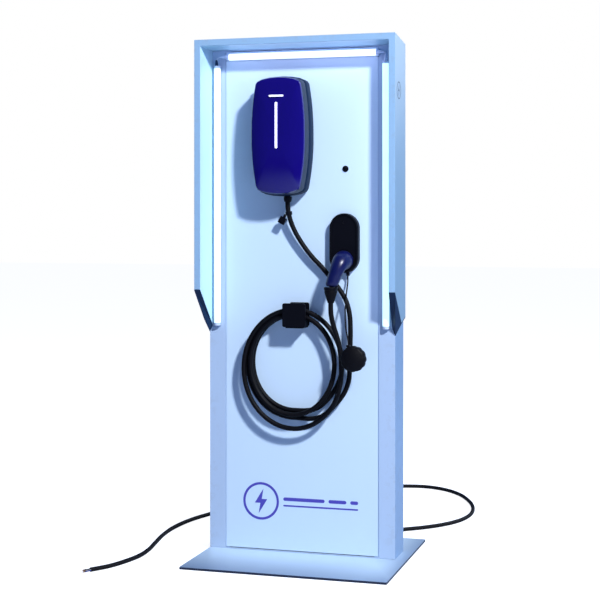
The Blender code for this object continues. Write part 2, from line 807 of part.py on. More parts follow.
def holster():
    """Oval holster with a round socket whose cup passes through the panel."""
    middle = (HOLSTER_X, HOLSTER_Z)
    back = FRONT_OF_PANEL
    stations = [(back, 0.0), (HOLSTER_FRONT + 0.004, 0.0), (HOLSTER_FRONT, 0.0030)]
    bm = loops_to_solid(
        [
            [(x, y, z) for x, z in stadium(HOLSTER_W - 2 * d, HOLSTER_H - 2 * d, middle)]
            for y, d in stations
        ]
    )
    rim = 0.0065
    dish = [
        (x, z) for x, z in stadium(HOLSTER_W - 2 * rim, HOLSTER_H - 2 * rim, middle)
    ]
    bm = cut(bm, prism(dish, HOLSTER_FRONT - 0.01, HOLSTER_FRONT + 0.004, along_y))
    depth = NOSE_L + SOCKET_SPARE
    cup = disc(
        SOCKET_R + SOCKET_WALL,
        depth + SOCKET_WALL - 0.005,
        (SOCKET_X, HOLSTER_FRONT + 0.005, SOCKET_Z),
        (0, 1, 0),
        36,
    )
    bore = disc(
        SOCKET_R, depth + 0.01, (SOCKET_X, HOLSTER_FRONT - 0.01, SOCKET_Z), (0, 1, 0), 36
    )
    eye_y = -0.014
    low = HOLSTER_Z - HOLSTER_H / 2
    eye = box(
        (LANYARD_X - 0.005, LANYARD_X + 0.005), (eye_y - 0.004, eye_y + 0.004), (low - 0.010, low + 0.012)
    )
    add("holster", cut(join(bm, cup, eye), bore), "black_plastic", smooth=35)


def nose_outline(r):
    """Round with a flat on top, as the plug's keying has it."""
    points = []
    for i in range(36):
        a = 2 * math.pi * i / 36
        points.append(
            (SOCKET_X + r * math.cos(a), SOCKET_Z + min(r * math.sin(a), 0.78 * r))
        )
    return points


def grip_frame():
    """Unit vector from the head down the grip, in the XZ plane, and the grip's length."""
    down = Vector((GRIP_END[0] - SOCKET_X, 0, GRIP_END[2] - SOCKET_Z))
    return down.normalized(), down.length


def connector():
    head = HOLSTER_FRONT - 0.0007
    anchor = (SOCKET_X, head, SOCKET_Z)
    down, reach = grip_frame()
    across = Vector((0, -1, 0)).cross(down).normalized()
    end_y = GRIP_END[1]
    r = HEAD_W / 2
    g = GRIP_W / 2
    stations = [
        (head, 0.0, r - 0.002, r - 0.002),
        (head - 0.003, 0.0, r, r),
        (head - 0.014, 0.0, r, r),
        (head - 0.026, 0.001, r - 0.0015, r - 0.003),
        (head - 0.038, 0.007, r - 0.0040, r - 0.0065),
        (head - 0.047, 0.017, r - 0.0065, r - 0.0095),
        (head - 0.053, 0.031, g + 0.0025, r - 0.0125),
        (head - 0.0560, 0.048, g + 0.0005, g - 0.0015),
        (head - 0.0565, 0.068, g, g - 0.0030),
        (end_y, reach - 0.020, g, g - 0.0015),
        (end_y, reach, g - 0.0010, g - 0.0025),
    ]
    spots = [anchor_point(y, along, down) for y, along, _, _ in stations]
    loops = []
    for i, (y, along, wide, thick) in enumerate(stations):
        a = spots[max(i - 1, 0)]
        b = spots[min(i + 1, len(spots) - 1)]
        run = (b - a).normalized()
        if i < 3:
            run = Vector((0, -1, 0))
        if i == len(stations) - 1:
            run = Vector((0, 0, -1))
        side = (across - run * across.dot(run)).normalized()
        up = run.cross(side).normalized()
        loops.append(
            [
                tuple(spots[i] + side * wide * math.cos(t) + up * thick * math.sin(t))
                for t in (2 * math.pi * k / 28 for k in range(28))
            ]
        )
    body = add(
        "connector_body", loops_to_solid(loops), "handle_blue", origin=anchor, smooth=40
    )
    tip = head + NOSE_L + 0.0007
    back = head + GAP
    bm = prism(nose_outline(NOSE_D / 2), back, tip, along_y)
    bore_r = NOSE_D / 2 - 0.0065
    seat = back + 0.004
    bm = cut(bm, disc(bore_r, 0.1, (SOCKET_X, seat, SOCKET_Z), (0, 1, 0), 32))
    add("connector_nose", bm, "black_plastic", parent=body, origin=anchor)
    insert = disc(
        bore_r - GAP, tip - seat - 0.003, (SOCKET_X, seat + GAP, SOCKET_Z), (0, 1, 0), 32
    )
    for i in range(7):
        a = math.radians(-90 + 60 * i)
        off = 0 if i == 6 else 0.0125
        place = (SOCKET_X + off * math.cos(a), tip - 0.016, SOCKET_Z + off * math.sin(a))
        insert = cut(insert, disc(0.0027, 0.03, place, (0, 1, 0), 12))
    add("connector_insert", insert, "grey_plastic", parent=body, origin=anchor)
    x, y, z = GRIP_END
    top = z - GAP
    collar = [(0, 0), (g, 0), (g + 0.0012, 0.0015), (g + 0.0012, COLLAR_L - 0.0015)]
    collar += [(g, COLLAR_L), (0, COLLAR_L)]
    bm = lathe(collar, (x, y, top), (0, 0, -1))
    add("connector_collar", bm, "black_plastic", parent=body, origin=anchor)
    top -= COLLAR_L + GAP
    wide, thin = NUT_TOP_W / 2, NUT_END_W / 2
    nut = [(0, 0), (wide, 0), (wide, 0.008)]
    for i in range(1, 5):
        t = 0.008 + (NUT_L - 0.008) * i / 4
        w = wide + (thin - wide) * i / 4
        nut += [(w + 0.0012, t - 0.004), (w, t)]
    nut.append((0, NUT_L))
    add(
        "connector_nut", lathe(nut, (x, y, top), (0, 0, -1)), "rubber", parent=body, origin=anchor
    )


def anchor_point(y, along, down):
    return Vector((SOCKET_X, y, SOCKET_Z)) + down * along


def connector_cable_top():
    x, y, z = GRIP_END
    return (x, y, z - COLLAR_L - NUT_L - 3 * GAP)


# --------------------------------------------------------------- hook, coil, cables
def coil_point(out, angle):
    """A point of the coil seen from the front: out is 0 on its inner edge and 1 on its outer."""
    inner, outer = COIL_INNER, COIL_OUTER
    x, half_w, z, half_h = (a + (b - a) * out for a, b in zip(inner, outer))
    return (x + half_w * math.cos(angle), z + half_h * math.sin(angle))


def coil_inner_top(x):
    middle, half_w, z, half_h = COIL_INNER
    u = (x - middle) / half_w
    return z + half_h * math.sqrt(1 - u * u)


def hook():
    face = FRONT_OF_PANEL
    lip_back = face - COIL_BACK - COIL_DEPTH - 0.006
    arm = HOOK_ARM_W / 2
    top = [HOOK_X - arm + HOOK_ARM_W * i / 8 for i in range(9)]
    section = [(x, coil_inner_top(x) - HOOK_CLEAR) for x in top]
    low = min(z for _, z in section) - HOOK_ARM_H
    section += [(HOOK_X + arm, low), (HOOK_X - arm, low)]
    bm = prism(section, lip_back - 0.002, face - HOOK_BASE_T / 2, along_y)
    middle = coil_inner_top(HOOK_X) + 0.052 - HOOK_H / 2
    base = rounded_rectangle(HOOK_W - 0.012, HOOK_H, 0.006, 4, (HOOK_X, middle))
    lip = rounded_rectangle(HOOK_W, HOOK_H, 0.007, 4, (HOOK_X, middle))
    back_plate = prism(base, face - HOOK_BASE_T, face, along_y)
    front_plate = prism(lip, lip_back - HOOK_LIP_T, lip_back, along_y)
    add("cable_hook", join(bm, back_plate, front_plate), "black_plastic")


def coil():
    """The outer shape of the wound cable: a ring that is widest where its loops hang apart."""
    middle = FRONT_OF_PANEL - COIL_BACK - COIL_DEPTH / 2
    section = rounded_rectangle(1.0, COIL_DEPTH, COIL_DEPTH / 4, 3)
    steps = 44
    bm = bmesh.new()
    rings = []
    for i in range(steps):
        a = 2 * math.pi * i / steps
        ring = []
        for across, off in section:
            x, z = coil_point(across + 0.5, a)
            ring.append(bm.verts.new((x, middle + off, z)))
        rings.append(ring)
    for i in range(steps):
        a, b = rings[i], rings[(i + 1) % steps]
        for k in range(len(a)):
            m = (k + 1) % len(a)
            bm.faces.new((a[k], a[m], b[m], b[k]))
    add("charge_cable_coil", bm, "rubber", smooth=50)


def upper_route():
    x, y = CABLE_EXIT
    return smooth_route(
        [
            (x, y, BOX_Z - BOX_H / 2 + 0.008),
            (x, y, BOX_Z - BOX_H / 2 - 0.035),
            (-0.0356, -0.0348, 1.200),
            (-0.0285, -0.030, 1.168),
            (-0.0129, -0.026, 1.129),
            (0.0146, -0.023, 1.084),
            (0.0478, -0.021, 1.0414),
            (0.0800, -0.020, 1.009),
            (0.1080, -0.020, 0.977),
            (0.1490, -0.022, 0.926),
            (0.1700, -0.026, 0.892),
            (0.1830, -0.030, 0.848),
            (0.1872, -0.034, 0.795),
            (0.1872, -0.037, 0.746),
            (0.1862, -0.039, 0.705),
            (0.1858, -0.040, 0.668),
        ],
        CABLE_SPACING,
    )


def charge_cable():
    tube("charge_cable_upper", upper_route(), CABLE_D)
    top = Vector(connector_cable_top())
    lower = [
        top,
        top - Vector((0, 0, 0.022)),
        (0.1325, -0.0835, 0.842),
        (0.1400, -0.0785, 0.806),
        (0.1500, -0.0740, 0.772),
        (0.1580, -0.0718, 0.737),
        (0.1625, -0.0716, 0.700),
    ]
    tube("charge_cable_lower", smooth_route(lower, 0.034), CABLE_D)


def cable_clip():
    """Small square clip hung on the charging cable by a ring."""
    points = upper_route()
    below = next(i for i, p in enumerate(points) if p.z < CLIP_Z + 0.008)
    above = points[below - 1]
    run = (points[below] - above).normalized()
    at = above + run * min((above.z - CLIP_Z) / -run.z, (points[below] - above).length - 0.008)
    bore = CABLE_D / 2 + CLIP_CLEAR
    wall = bore + 0.0025
    ring = [(bore, -0.006), (wall, -0.006), (wall, 0.006), (bore, 0.006)]
    bm = ring_lathe(ring, at, run, 20)
    turn = Matrix.Rotation(math.radians(30), 3, "Y")
    tag = box((-0.012, 0.012), (-0.004, 0.004), (-0.012, 0.012))
    arm = box((-0.004, 0.004), (-0.003, 0.003), (0.010, 0.0240))
    for part in (tag, arm):
        bmesh.ops.transform(part, matrix=turn.to_4x4(), verts=part.verts)
        bmesh.ops.translate(part, verts=part.verts, vec=at + Vector((-0.0235, 0, -0.0250)))
    add("cable_clip", join(bm, arm, tag), "black_plastic")


def lanyard_and_cap():
    low = HOLSTER_Z - HOLSTER_H / 2 - 0.010 - GAP
    route = [
        (LANYARD_X, -0.014, low - GAP),
        (LANYARD_X, -0.014, low - 0.018),
        (LANYARD_X, -0.038, low - 0.070),
        (LANYARD_X + 0.003, -0.062, low - 0.125),
        (LANYARD_X + 0.011, -0.082, low - 0.180),
        (LANYARD_X + 0.021, CAP_Y - 0.004, low - 0.208),
        (LANYARD_X + 0.024, CAP_Y - 0.008, CAP_Z + CAP_D / 2 + 0.0053),
    ]
    tube("cap_lanyard", smooth_route(route, 0.014), LANYARD_D, sides=2)
    r = CAP_D / 2
    front = CAP_Y - CAP_H / 2 - 0.008
    cup = [(0, 0), (r - 0.004, 0), (r, 0.003), (r, CAP_H), (r - 0.006, CAP_H)]
    cup += [(r - 0.006, 0.006), (0, 0.006)]
    bm = lathe(cup, (CAP_X, front, CAP_Z), (0, 1, 0), 32)
    x = LANYARD_X + 0.024
    deep = (front + 0.010, front + 0.026)
    ear = box((x - 0.006, x + 0.006), deep, (CAP_Z + r - 0.012, CAP_Z + r + 0.004))
    add("dust_cap", join(bm, ear), "rubber", smooth=40)


def supply():
    """Supply cable: rear gland, floor run round the back of the post, stripped cores."""
    bore = SUPPLY_D / 2 + GLAND_CLEAR
    y = BODY_D + GAP
    profile = [
        (bore, -0.016),
        (0.0122, -0.016),
        (0.0122, 0.0),
        (0.0170, 0.0),
        (0.0170, 0.011),
        (0.0140, 0.020),
        (bore, 0.022),
    ]
    bm = ring_lathe(profile, (SUPPLY_X, y, SUPPLY_Z), (0, 1, 0), 24)
    add("supply_gland", bm, "black_plastic")
    lay = SUPPLY_D / 2 + GAP
    on_foot = PLATE_T + lay
    route = [
        (SUPPLY_X, BODY_D - 0.010, SUPPLY_Z),
        (SUPPLY_X, BODY_D + 0.054, SUPPLY_Z),
        (SUPPLY_X + 0.014, BODY_D + 0.110, 0.046),
        (SUPPLY_X + 0.044, BODY_D + 0.165, 0.024),
        (SUPPLY_X + 0.085, BODY_D + PLATE_BACK + 0.008, on_foot + 0.001),
        (0.222, 0.405, lay + 0.004),
        (0.265, 0.468, lay),
        (0.328, 0.520, lay),
        (0.390, 0.590, lay),
        (0.440, 0.685, lay),
        (0.462, 0.810, lay),
        (0.446, 0.955, lay),
        (0.402, 1.090, lay),
        (0.345, 1.200, lay),
        (0.268, 1.282, lay),
        (0.180, 1.320, lay),
        (0.080, 1.306, lay),
        (-0.060, 1.235, lay),
        (-0.240, 1.075, lay),
        (-0.395, 0.860, lay),
        (-0.490, 0.650, lay),
        (-0.530, 0.520, lay),
        (-0.556, 0.430, lay),
        (-0.571, 0.340, lay),
        (-0.576, 0.236, lay),
        (-0.568, 0.125, lay),
        (-0.549, 0.010, lay),
        (-0.530, -0.103, lay),
        (-0.526, -0.190, lay),
        (-0.540, -0.275, lay),
        (-0.566, -0.355, lay),
        (-0.606, -0.420, lay),
    ]
    tube("supply_cable", smooth_route(route, 0.060), SUPPLY_D)
    end = Vector(route[-1])
    run = (end - Vector(route[-2])).normalized()
    r = SUPPLY_D / 2 - 0.0025
    stub = [(0, 0), (r, 0), (r, 0.030), (r - 0.0015, 0.034), (0, 0.034)]
    add("supply_cores", lathe(stub, end + run * GAP, run, 12), "copper")


# ---------------------------------------------------------------- rear service door
def knuckle(z, low, high, r):
    return disc(r, high - low, (HINGE_X, HINGE_Y, z + low), (0, 0, 1), 20)


def rear_door():
    """Plate door with softened edges, hung on two hinges, with the lock's hole in it."""
    half = DOOR_W / 2
    back = DOOR_Y0 + DOOR_T
    bm = box((-half, half), (DOOR_Y0, back), DOOR_Z)
    bm = soften(bm, 0.001, segments=1, only=lambda e: min(v.co.y for v in e.verts) > back - 0.001)
    third = HINGE_L / 3
    for z in HINGE_Z:
        span = (z + third + GAP, z + 2 * third - GAP)
        leaf = box((HINGE_X, HINGE_X + 0.034), (back - 0.001, back + 0.002), span)
        barrel_part = knuckle(z, third + GAP, 2 * third - GAP, HINGE_R)
        bm = join(bm, leaf, barrel_part)
        bm = cut(bm, knuckle(z, 0, HINGE_L, HINGE_R / 2 + GAP))
    hole = disc(LOCK_D / 2 - 0.0022, 0.02, (LOCK_X, back - 0.010, LOCK_Z), (0, 1, 0), 24)
    origin = (HINGE_X, HINGE_Y, (DOOR_Z[0] + DOOR_Z[1]) / 2)
    door = add("rear_door", cut(bm, hole), "powder_white", origin=origin)
    for i, z in enumerate(HINGE_Z):
        hinge(i + 1, z, third)
    lock(door, back)


def hinge(number, z, third):
    """The part of a hinge that stays on the body, with the pin."""
    face = BODY_D + GAP
    leaf = box((HINGE_X - 0.034, HINGE_X - 0.002), (face, face + 0.003), (z, z + HINGE_L))
    bm = leaf
    for low, high in ((0, third), (2 * third, HINGE_L)):
        web = box((HINGE_X - HINGE_R, HINGE_X - 0.003), (face + 0.001, HINGE_Y), (z + low, z + high))
        bm = join(bm, web, knuckle(z, low, high, HINGE_R))
    bm = join(bm, knuckle(z, 0.002, HINGE_L - 0.002, HINGE_R / 2))
    add(f"door_hinge_{number}", bm, "zinc", origin=(HINGE_X, HINGE_Y, z))


def lock(door, back):
    """Quarter-turn lock: the barrel turns with the cam behind it."""
    cam_back = BODY_D - SHEET - 0.0005
    cam_front = cam_back - 0.003
    r = LOCK_D / 2
    start = back + GAP
    inner = start - (cam_back + GAP)
    shape = [(0, 0.003), (r - 0.001, 0.003), (r, 0.002), (r, 0), (r - 0.0025, 0)]
    shape += [(r - 0.0025, -inner), (0, -inner)]
    bm = lathe(shape, (LOCK_X, start, LOCK_Z), (0, 1, 0), 28)
    tall = (LOCK_Z - 0.005, LOCK_Z + 0.005)
    key = box((LOCK_X - 0.0012, LOCK_X + 0.0012), (start + 0.001, start + 0.01), tall)
    origin = (LOCK_X, start, LOCK_Z)
    barrel_obj = add("lock_barrel", cut(bm, key), "zinc", origin=origin, parent=door)
    outline = []
    for i in range(9):
        a = math.pi * i / 8
        outline.append((LOCK_X + CAM_W / 2 * math.cos(a), LOCK_Z + CAM_W / 2 * math.sin(a)))
    low = LOCK_Z - CAM_L
    outline += [(LOCK_X - CAM_W / 2, low + 0.003), (LOCK_X - CAM_W / 2 + 0.003, low)]
    outline += [(LOCK_X + CAM_W / 2 - 0.003, low), (LOCK_X + CAM_W / 2, low + 0.003)]
    cam = prism(outline, cam_front, cam_back, along_y)
    add("lock_cam", cam, "zinc", origin=origin, parent=barrel_obj)


# ------------------------------------------------------------------ inside the body
def inside():
    """Mounting tray behind the panel, DIN rail, breaker with its lever, lamp driver."""
    near = SHEET + GAP
    deep = near + TRAY_DEEP
    half = TRAY_W / 2
    plan = [
        (-half, near),
        (-half + 0.002, near),
        (-half + 0.002, deep - 0.002),
        (half - 0.002, deep - 0.002),
        (half - 0.002, near),
        (half, near),
        (half, deep),
        (-half, deep),
    ]
    add("mounting_tray", prism(plan, *TRAY_Z, along_z), "zinc")
    y = deep + GAP
    hat = [
        (y, -0.0125),
        (y + 0.0065, -0.0125),
        (y + 0.0065, -0.0175),
        (y + 0.0075, -0.0175),
        (y + 0.0075, -0.0115),
        (y + 0.0010, -0.0115),
        (y + 0.0010, 0.0115),
        (y + 0.0075, 0.0115),
        (y + 0.0075, 0.0175),
        (y + 0.0065, 0.0175),
        (y + 0.0065, 0.0125),
        (y, 0.0125),
    ]
    hat = [(a, RAIL_Z + b) for a, b in hat]
    add("din_rail", prism(hat, -RAIL_L / 2, RAIL_L / 2, along_x), "zinc")
    breaker(y + 0.0075 + GAP)
    driver = box((0.010, 0.170), (y, y + 0.028), (RAIL_Z - 0.200, RAIL_Z - 0.160))
    add("lamp_driver", soften(driver, 0.002, segments=1), "grey_plastic")


def breaker(y):
    half = BREAKER_W / 2
    front = y + BREAKER_D
    tall = (RAIL_Z - BREAKER_H / 2, RAIL_Z + BREAKER_H / 2)
    bm = box((BREAKER_X - half, BREAKER_X + half), (y, front), tall)
    step = 0.014
    for z in (-1, 1):
        lo, hi = sorted((RAIL_Z + z * 0.0225, RAIL_Z + z * (BREAKER_H / 2 + 0.01)))
        wide = (BREAKER_X - half - 0.01, BREAKER_X + half + 0.01)
        bm = cut(bm, box(wide, (front - step, front + 0.01), (lo, hi)))
    lever_w = 0.020
    slot = box(
        (BREAKER_X - lever_w / 2 - 0.0006, BREAKER_X + lever_w / 2 + 0.0006),
        (front - 0.010, front + 0.01),
        (RAIL_Z - 0.012, RAIL_Z + 0.012),
    )
    add("breaker_body", cut(bm, slot), "grey_plastic")
    pivot = Vector((BREAKER_X, front - 0.0055, RAIL_Z))
    hub = disc(0.0040, lever_w, (-lever_w / 2, 0, 0), (1, 0, 0), 20)
    arm = box((-lever_w / 2 + 0.001, lever_w / 2 - 0.001), (0, 0.0055 + LEVER_L), (-0.0022, 0.0022))
    bm = join(hub, arm)
    turn = Matrix.Rotation(math.radians(28), 4, "X")
    bmesh.ops.transform(bm, matrix=turn, verts=bm.verts)
    bmesh.ops.translate(bm, verts=bm.verts, vec=pivot)
    add("breaker_lever", bm, "black_plastic", origin=tuple(pivot))


# ------------------------------------------------------------------------- build
def build():
    for obj in list(bpy.data.objects):
        bpy.data.objects.remove(obj)
    frame = bpy.data.objects.new("post_frame", None)
    bpy.context.scene.collection.objects.link(frame)
    frame.location = (-ORIGIN_X, -ORIGIN_Y, 0)
    foot_plate()
    foot_screws()
    body()
    panel()
    hood()
    lamps()
    wallbox()
    output_gland()
    button()
    holster()
    connector()
    hook()
    coil()
    charge_cable()
    cable_clip()
    lanyard_and_cap()
    supply()
    rear_door()
    inside()


build()
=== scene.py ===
"""Looks of the EV charging post: cables wound on their hook, glowing lamps, painted sheet metal,
gloss wallbox and moulded parts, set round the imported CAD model. Metres, +Z up, front at -Y.
"""

import json
import math

import bmesh
import bpy
from mathutils import Matrix, Vector


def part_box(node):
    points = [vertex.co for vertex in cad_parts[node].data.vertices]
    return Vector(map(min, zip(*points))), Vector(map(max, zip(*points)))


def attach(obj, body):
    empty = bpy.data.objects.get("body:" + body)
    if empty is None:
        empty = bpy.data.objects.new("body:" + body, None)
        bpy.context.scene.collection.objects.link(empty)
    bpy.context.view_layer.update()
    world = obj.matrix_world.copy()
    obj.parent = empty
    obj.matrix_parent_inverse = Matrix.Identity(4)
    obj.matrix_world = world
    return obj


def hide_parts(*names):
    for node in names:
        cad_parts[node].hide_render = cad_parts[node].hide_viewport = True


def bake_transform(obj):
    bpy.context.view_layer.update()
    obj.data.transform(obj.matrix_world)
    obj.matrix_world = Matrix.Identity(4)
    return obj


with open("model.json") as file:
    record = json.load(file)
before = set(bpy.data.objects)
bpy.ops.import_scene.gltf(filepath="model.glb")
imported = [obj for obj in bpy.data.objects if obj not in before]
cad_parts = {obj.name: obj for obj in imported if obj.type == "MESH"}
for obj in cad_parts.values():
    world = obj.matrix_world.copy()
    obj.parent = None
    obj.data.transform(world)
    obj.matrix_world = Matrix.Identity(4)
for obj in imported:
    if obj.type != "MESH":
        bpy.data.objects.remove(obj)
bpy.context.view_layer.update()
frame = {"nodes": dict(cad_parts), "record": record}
NODES = frame["nodes"]

# ------------------------------------------------------------- places and sizes
BODY_LO, BODY_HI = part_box("body_shell")
MIDDLE_X = (BODY_LO.x + BODY_HI.x) / 2
FRONT_Y = BODY_LO.y
CABLE_D = 0.017
SUPPLY_D = 0.015
LANYARD_D = 0.005
TOUCH = 0.0003  # clear space between pieces that touch

COIL_INNER = (-0.0165, 0.1492, 0.6760, 0.1647)  # innermost turn: middle X, half width, middle Z, half height
COIL_OUTER = (-0.0120, 0.1813, 0.6540, 0.2053)  # outermost turn
COIL_Y = -0.0403
COIL_LAYER = 0.0095  # from the middle of the coil to each of its two layers


def at(x, y, z):
    """A place given from the middle of the body's front face, at floor level."""
    return Vector((x + MIDDLE_X, y + FRONT_Y, z))


def middle(node):
    lo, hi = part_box(node)
    return (lo + hi) / 2


# ------------------------------------------------------------------------ camera
def make_camera():
    data = bpy.data.cameras.new("camera")
    camera = bpy.data.objects.new("camera", data)
    bpy.context.scene.collection.objects.link(camera)
    camera.location = at(1.3771, -4.6869, 1.1706)
    camera.rotation_euler = (math.radians(90), 0, math.radians(16.41))
    data.lens = 83.95
    data.sensor_width = 36
    data.shift_y = -0.1333
    bpy.context.scene.camera = camera


# ------------------------------------------------------------------------- cords
def smooth_points(route, spacing):
    """Evenly spaced points on a smooth centripetal curve through the route."""
    pts = [Vector(p) for p in route]
    pts = [pts[0] * 2 - pts[1], *pts, pts[-1] * 2 - pts[-2]]
    dense = []
    for p0, p1, p2, p3 in zip(pts, pts[1:], pts[2:], pts[3:]):
        t0 = 0.0
        t1 = t0 + (p1 - p0).length ** 0.5
        t2 = t1 + (p2 - p1).length ** 0.5
        t3 = t2 + (p3 - p2).length ** 0.5
        for i in range(24):
            t = t1 + (t2 - t1) * i / 24
            a1 = p0 * ((t1 - t) / (t1 - t0)) + p1 * ((t - t0) / (t1 - t0))
            a2 = p1 * ((t2 - t) / (t2 - t1)) + p2 * ((t - t1) / (t2 - t1))
            a3 = p2 * ((t3 - t) / (t3 - t2)) + p3 * ((t - t2) / (t3 - t2))
            b1 = a1 * ((t2 - t) / (t2 - t0)) + a2 * ((t - t0) / (t2 - t0))
            b2 = a2 * ((t3 - t) / (t3 - t1)) + a3 * ((t - t1) / (t3 - t1))
            dense.append(b1 * ((t2 - t) / (t2 - t1)) + b2 * ((t - t1) / (t2 - t1)))
    dense.append(pts[-2])
    total = path_length(dense)
    count = max(2, round(total / spacing))
    step = total / count
    kept = [dense[0]]
    walked = 0.0
    for a, b in zip(dense, dense[1:]):
        length = (b - a).length
        while walked + length >= step * len(kept) - 1e-9 and len(kept) < count:
            kept.append(a.lerp(b, (step * len(kept) - walked) / length))
        walked += length
    kept.append(dense[-1])
    return kept


def path_length(points):
    return sum((b - a).length for a, b in zip(points, points[1:]))


def cord_curve(name, points, diameter, finish):
    """One open spline with a round section and filled ends."""
    curve = bpy.data.curves.new(name, "CURVE")
    curve.dimensions = "3D"
    curve.bevel_depth = diameter / 2
    curve.bevel_resolution = 5
    curve.use_fill_caps = True
    spline = curve.splines.new("POLY")
    spline.points.add(len(points) - 1)
    for point, place in zip(spline.points, points):
        point.co = (*place, 1.0)
    spline.use_smooth = True
    curve.materials.append(finish)
    piece = bpy.data.objects.new(name, curve)
    bpy.context.scene.collection.objects.link(piece)
    return piece


def tube_mesh(name, points, diameter, finish, sides=20):
    """A round tube swept along the points, closed at both ends."""
    bm = bmesh.new()
    ring = bmesh.ops.create_circle(
        bm, cap_ends=False, segments=sides, radius=diameter / 2
    )["verts"]
    first = (points[1] - points[0]).normalized()
    turn = Vector((0, 0, 1)).rotation_difference(first)
    bmesh.ops.rotate(bm, verts=ring, cent=(0, 0, 0), matrix=turn.to_matrix())
    bmesh.ops.translate(bm, verts=ring, vec=points[0])
    start = list(ring)
    edges = list(bm.edges)
    heading = first
    for i in range(1, len(points)):
        grown = bmesh.ops.extrude_edge_only(bm, edges=edges)["geom"]
        ring = [g for g in grown if isinstance(g, bmesh.types.BMVert)]
        edges = [g for g in grown if isinstance(g, bmesh.types.BMEdge)]
        ahead = points[min(i + 1, len(points) - 1)] - points[i - 1]
        turn = heading.rotation_difference(ahead.normalized()).to_matrix()
        bmesh.ops.translate(bm, verts=ring, vec=points[i] - points[i - 1])
        bmesh.ops.rotate(bm, verts=ring, cent=points[i], matrix=turn)
        heading = ahead.normalized()
    bmesh.ops.contextual_create(bm, geom=start)
    bmesh.ops.contextual_create(bm, geom=ring)
    return finished(name, bm, finish, smooth=50)


def keyed(keys, angle):
    """Smoothly read (out, layer) between the keys, whose angles fall."""
    for (a0, *v0), (a1, *v1) in zip(keys, keys[1:]):
        if a1 <= angle <= a0:
            t = (a0 - angle) / (a0 - a1)
            t = t * t * (3 - 2 * t)
            return [p + (q - p) * t for p, q in zip(v0, v1)]
    return list(keys[-1][1:])


def coil_turns(keys, step=7.5):
    """Points along turns that run clockwise, from the first key's angle to the last's."""
    start, end = keys[0][0], keys[-1][0]
    count = round((start - end) / step)
    points = []
    for i in range(count + 1):
        angle = start + (end - start) * i / count
        out, layer = keyed(keys, angle)
        x, half_w, z, half_h = (a + (b - a) * out for a, b in zip(COIL_INNER, COIL_OUTER))
        a = math.radians(angle)
        y = COIL_Y - COIL_LAYER * layer
        points.append(at(x + half_w * math.cos(a), y, z + half_h * math.sin(a)))
    return points


# Each key: angle in degrees, place across the coil (0 inner, 1 outer), layer (-1 back, 1 front).
MAIN_TURNS = [
    (4, 1.45, -0.1),
    (-50, 0.86, -1.0),
    (-90, 0.42, -1.0),
    (-180, 0.64, -1.0),
    (-270, 1.0, -1.0),
    (-340, 0.75, -1.0),
    (-410, 0.30, -1.0),
    (-450, 0.02, -1.0),
    (-540, 0.0, -1.0),
    (-630, 0.0, -1.0),
    (-720, 0.05, 1.0),
    (-810, 0.24, 1.0),
    (-900, 0.12, 1.0),
    (-990, 0.0, 1.0),
]
TAIL_TURN = [
    (-6, 0.84, 2.6),
    (-45, 0.94, 1.7),
    (-90, 1.0, 1.0),
    (-180, 1.0, 1.0),
    (-270, 1.0, 1.0),
]


def charging_cable(finish):
    """From the wallbox's gland down to the hook, then round the coil."""
    gland = middle("output_gland")
    low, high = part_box("output_gland")
    exit_z = low.z
    route = [
        (gland.x, gland.y, high.z - 0.002),
        (gland.x, gland.y, exit_z - 0.012),
        at(-0.0356, -0.0348, 1.200),
        at(-0.0285, -0.030, 1.168),
        at(-0.0129, -0.026, 1.129),
        at(0.0146, -0.023, 1.084),
        at(0.0478, -0.021, 1.0414),
        at(0.0800, -0.020, 1.009),
        at(0.1080, -0.020, 0.977),
        at(0.1490, -0.022, 0.926),
        at(0.1700, -0.026, 0.892),
        at(0.1830, -0.030, 0.848),
        at(0.1872, -0.034, 0.795),
        at(0.1872, -0.037, 0.746),
        at(0.1862, -0.039, 0.705),
    ]
    points = smooth_points(route + coil_turns(MAIN_TURNS), 0.016)
    piece = cord_curve("charging_cable", points, CABLE_D, finish)
    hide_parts("charge_cable_upper", "charge_cable_coil")
    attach(piece, "post")
    return piece, points


def charging_cable_tail(finish):
    """From the connector's nut down into the coil's outermost turn."""
    nut = middle("connector_nut")
    top = Vector((nut.x, nut.y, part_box("connector_nut")[0].z - TOUCH))
    route = [
        top + Vector((0, 0, 0.004)),
        top - Vector((0, 0, 0.022)),
        at(0.1325, -0.0835, 0.842),
        at(0.1400, -0.0785, 0.806),
        at(0.1500, -0.0740, 0.772),
        at(0.1580, -0.0718, 0.737),
        at(0.1625, -0.0700, 0.700),
    ]
    points = smooth_points(route + coil_turns(TAIL_TURN), 0.012)
    piece = tube_mesh("charging_cable_tail", points, CABLE_D, finish)
    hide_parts("charge_cable_lower")
    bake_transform(piece)
    return piece


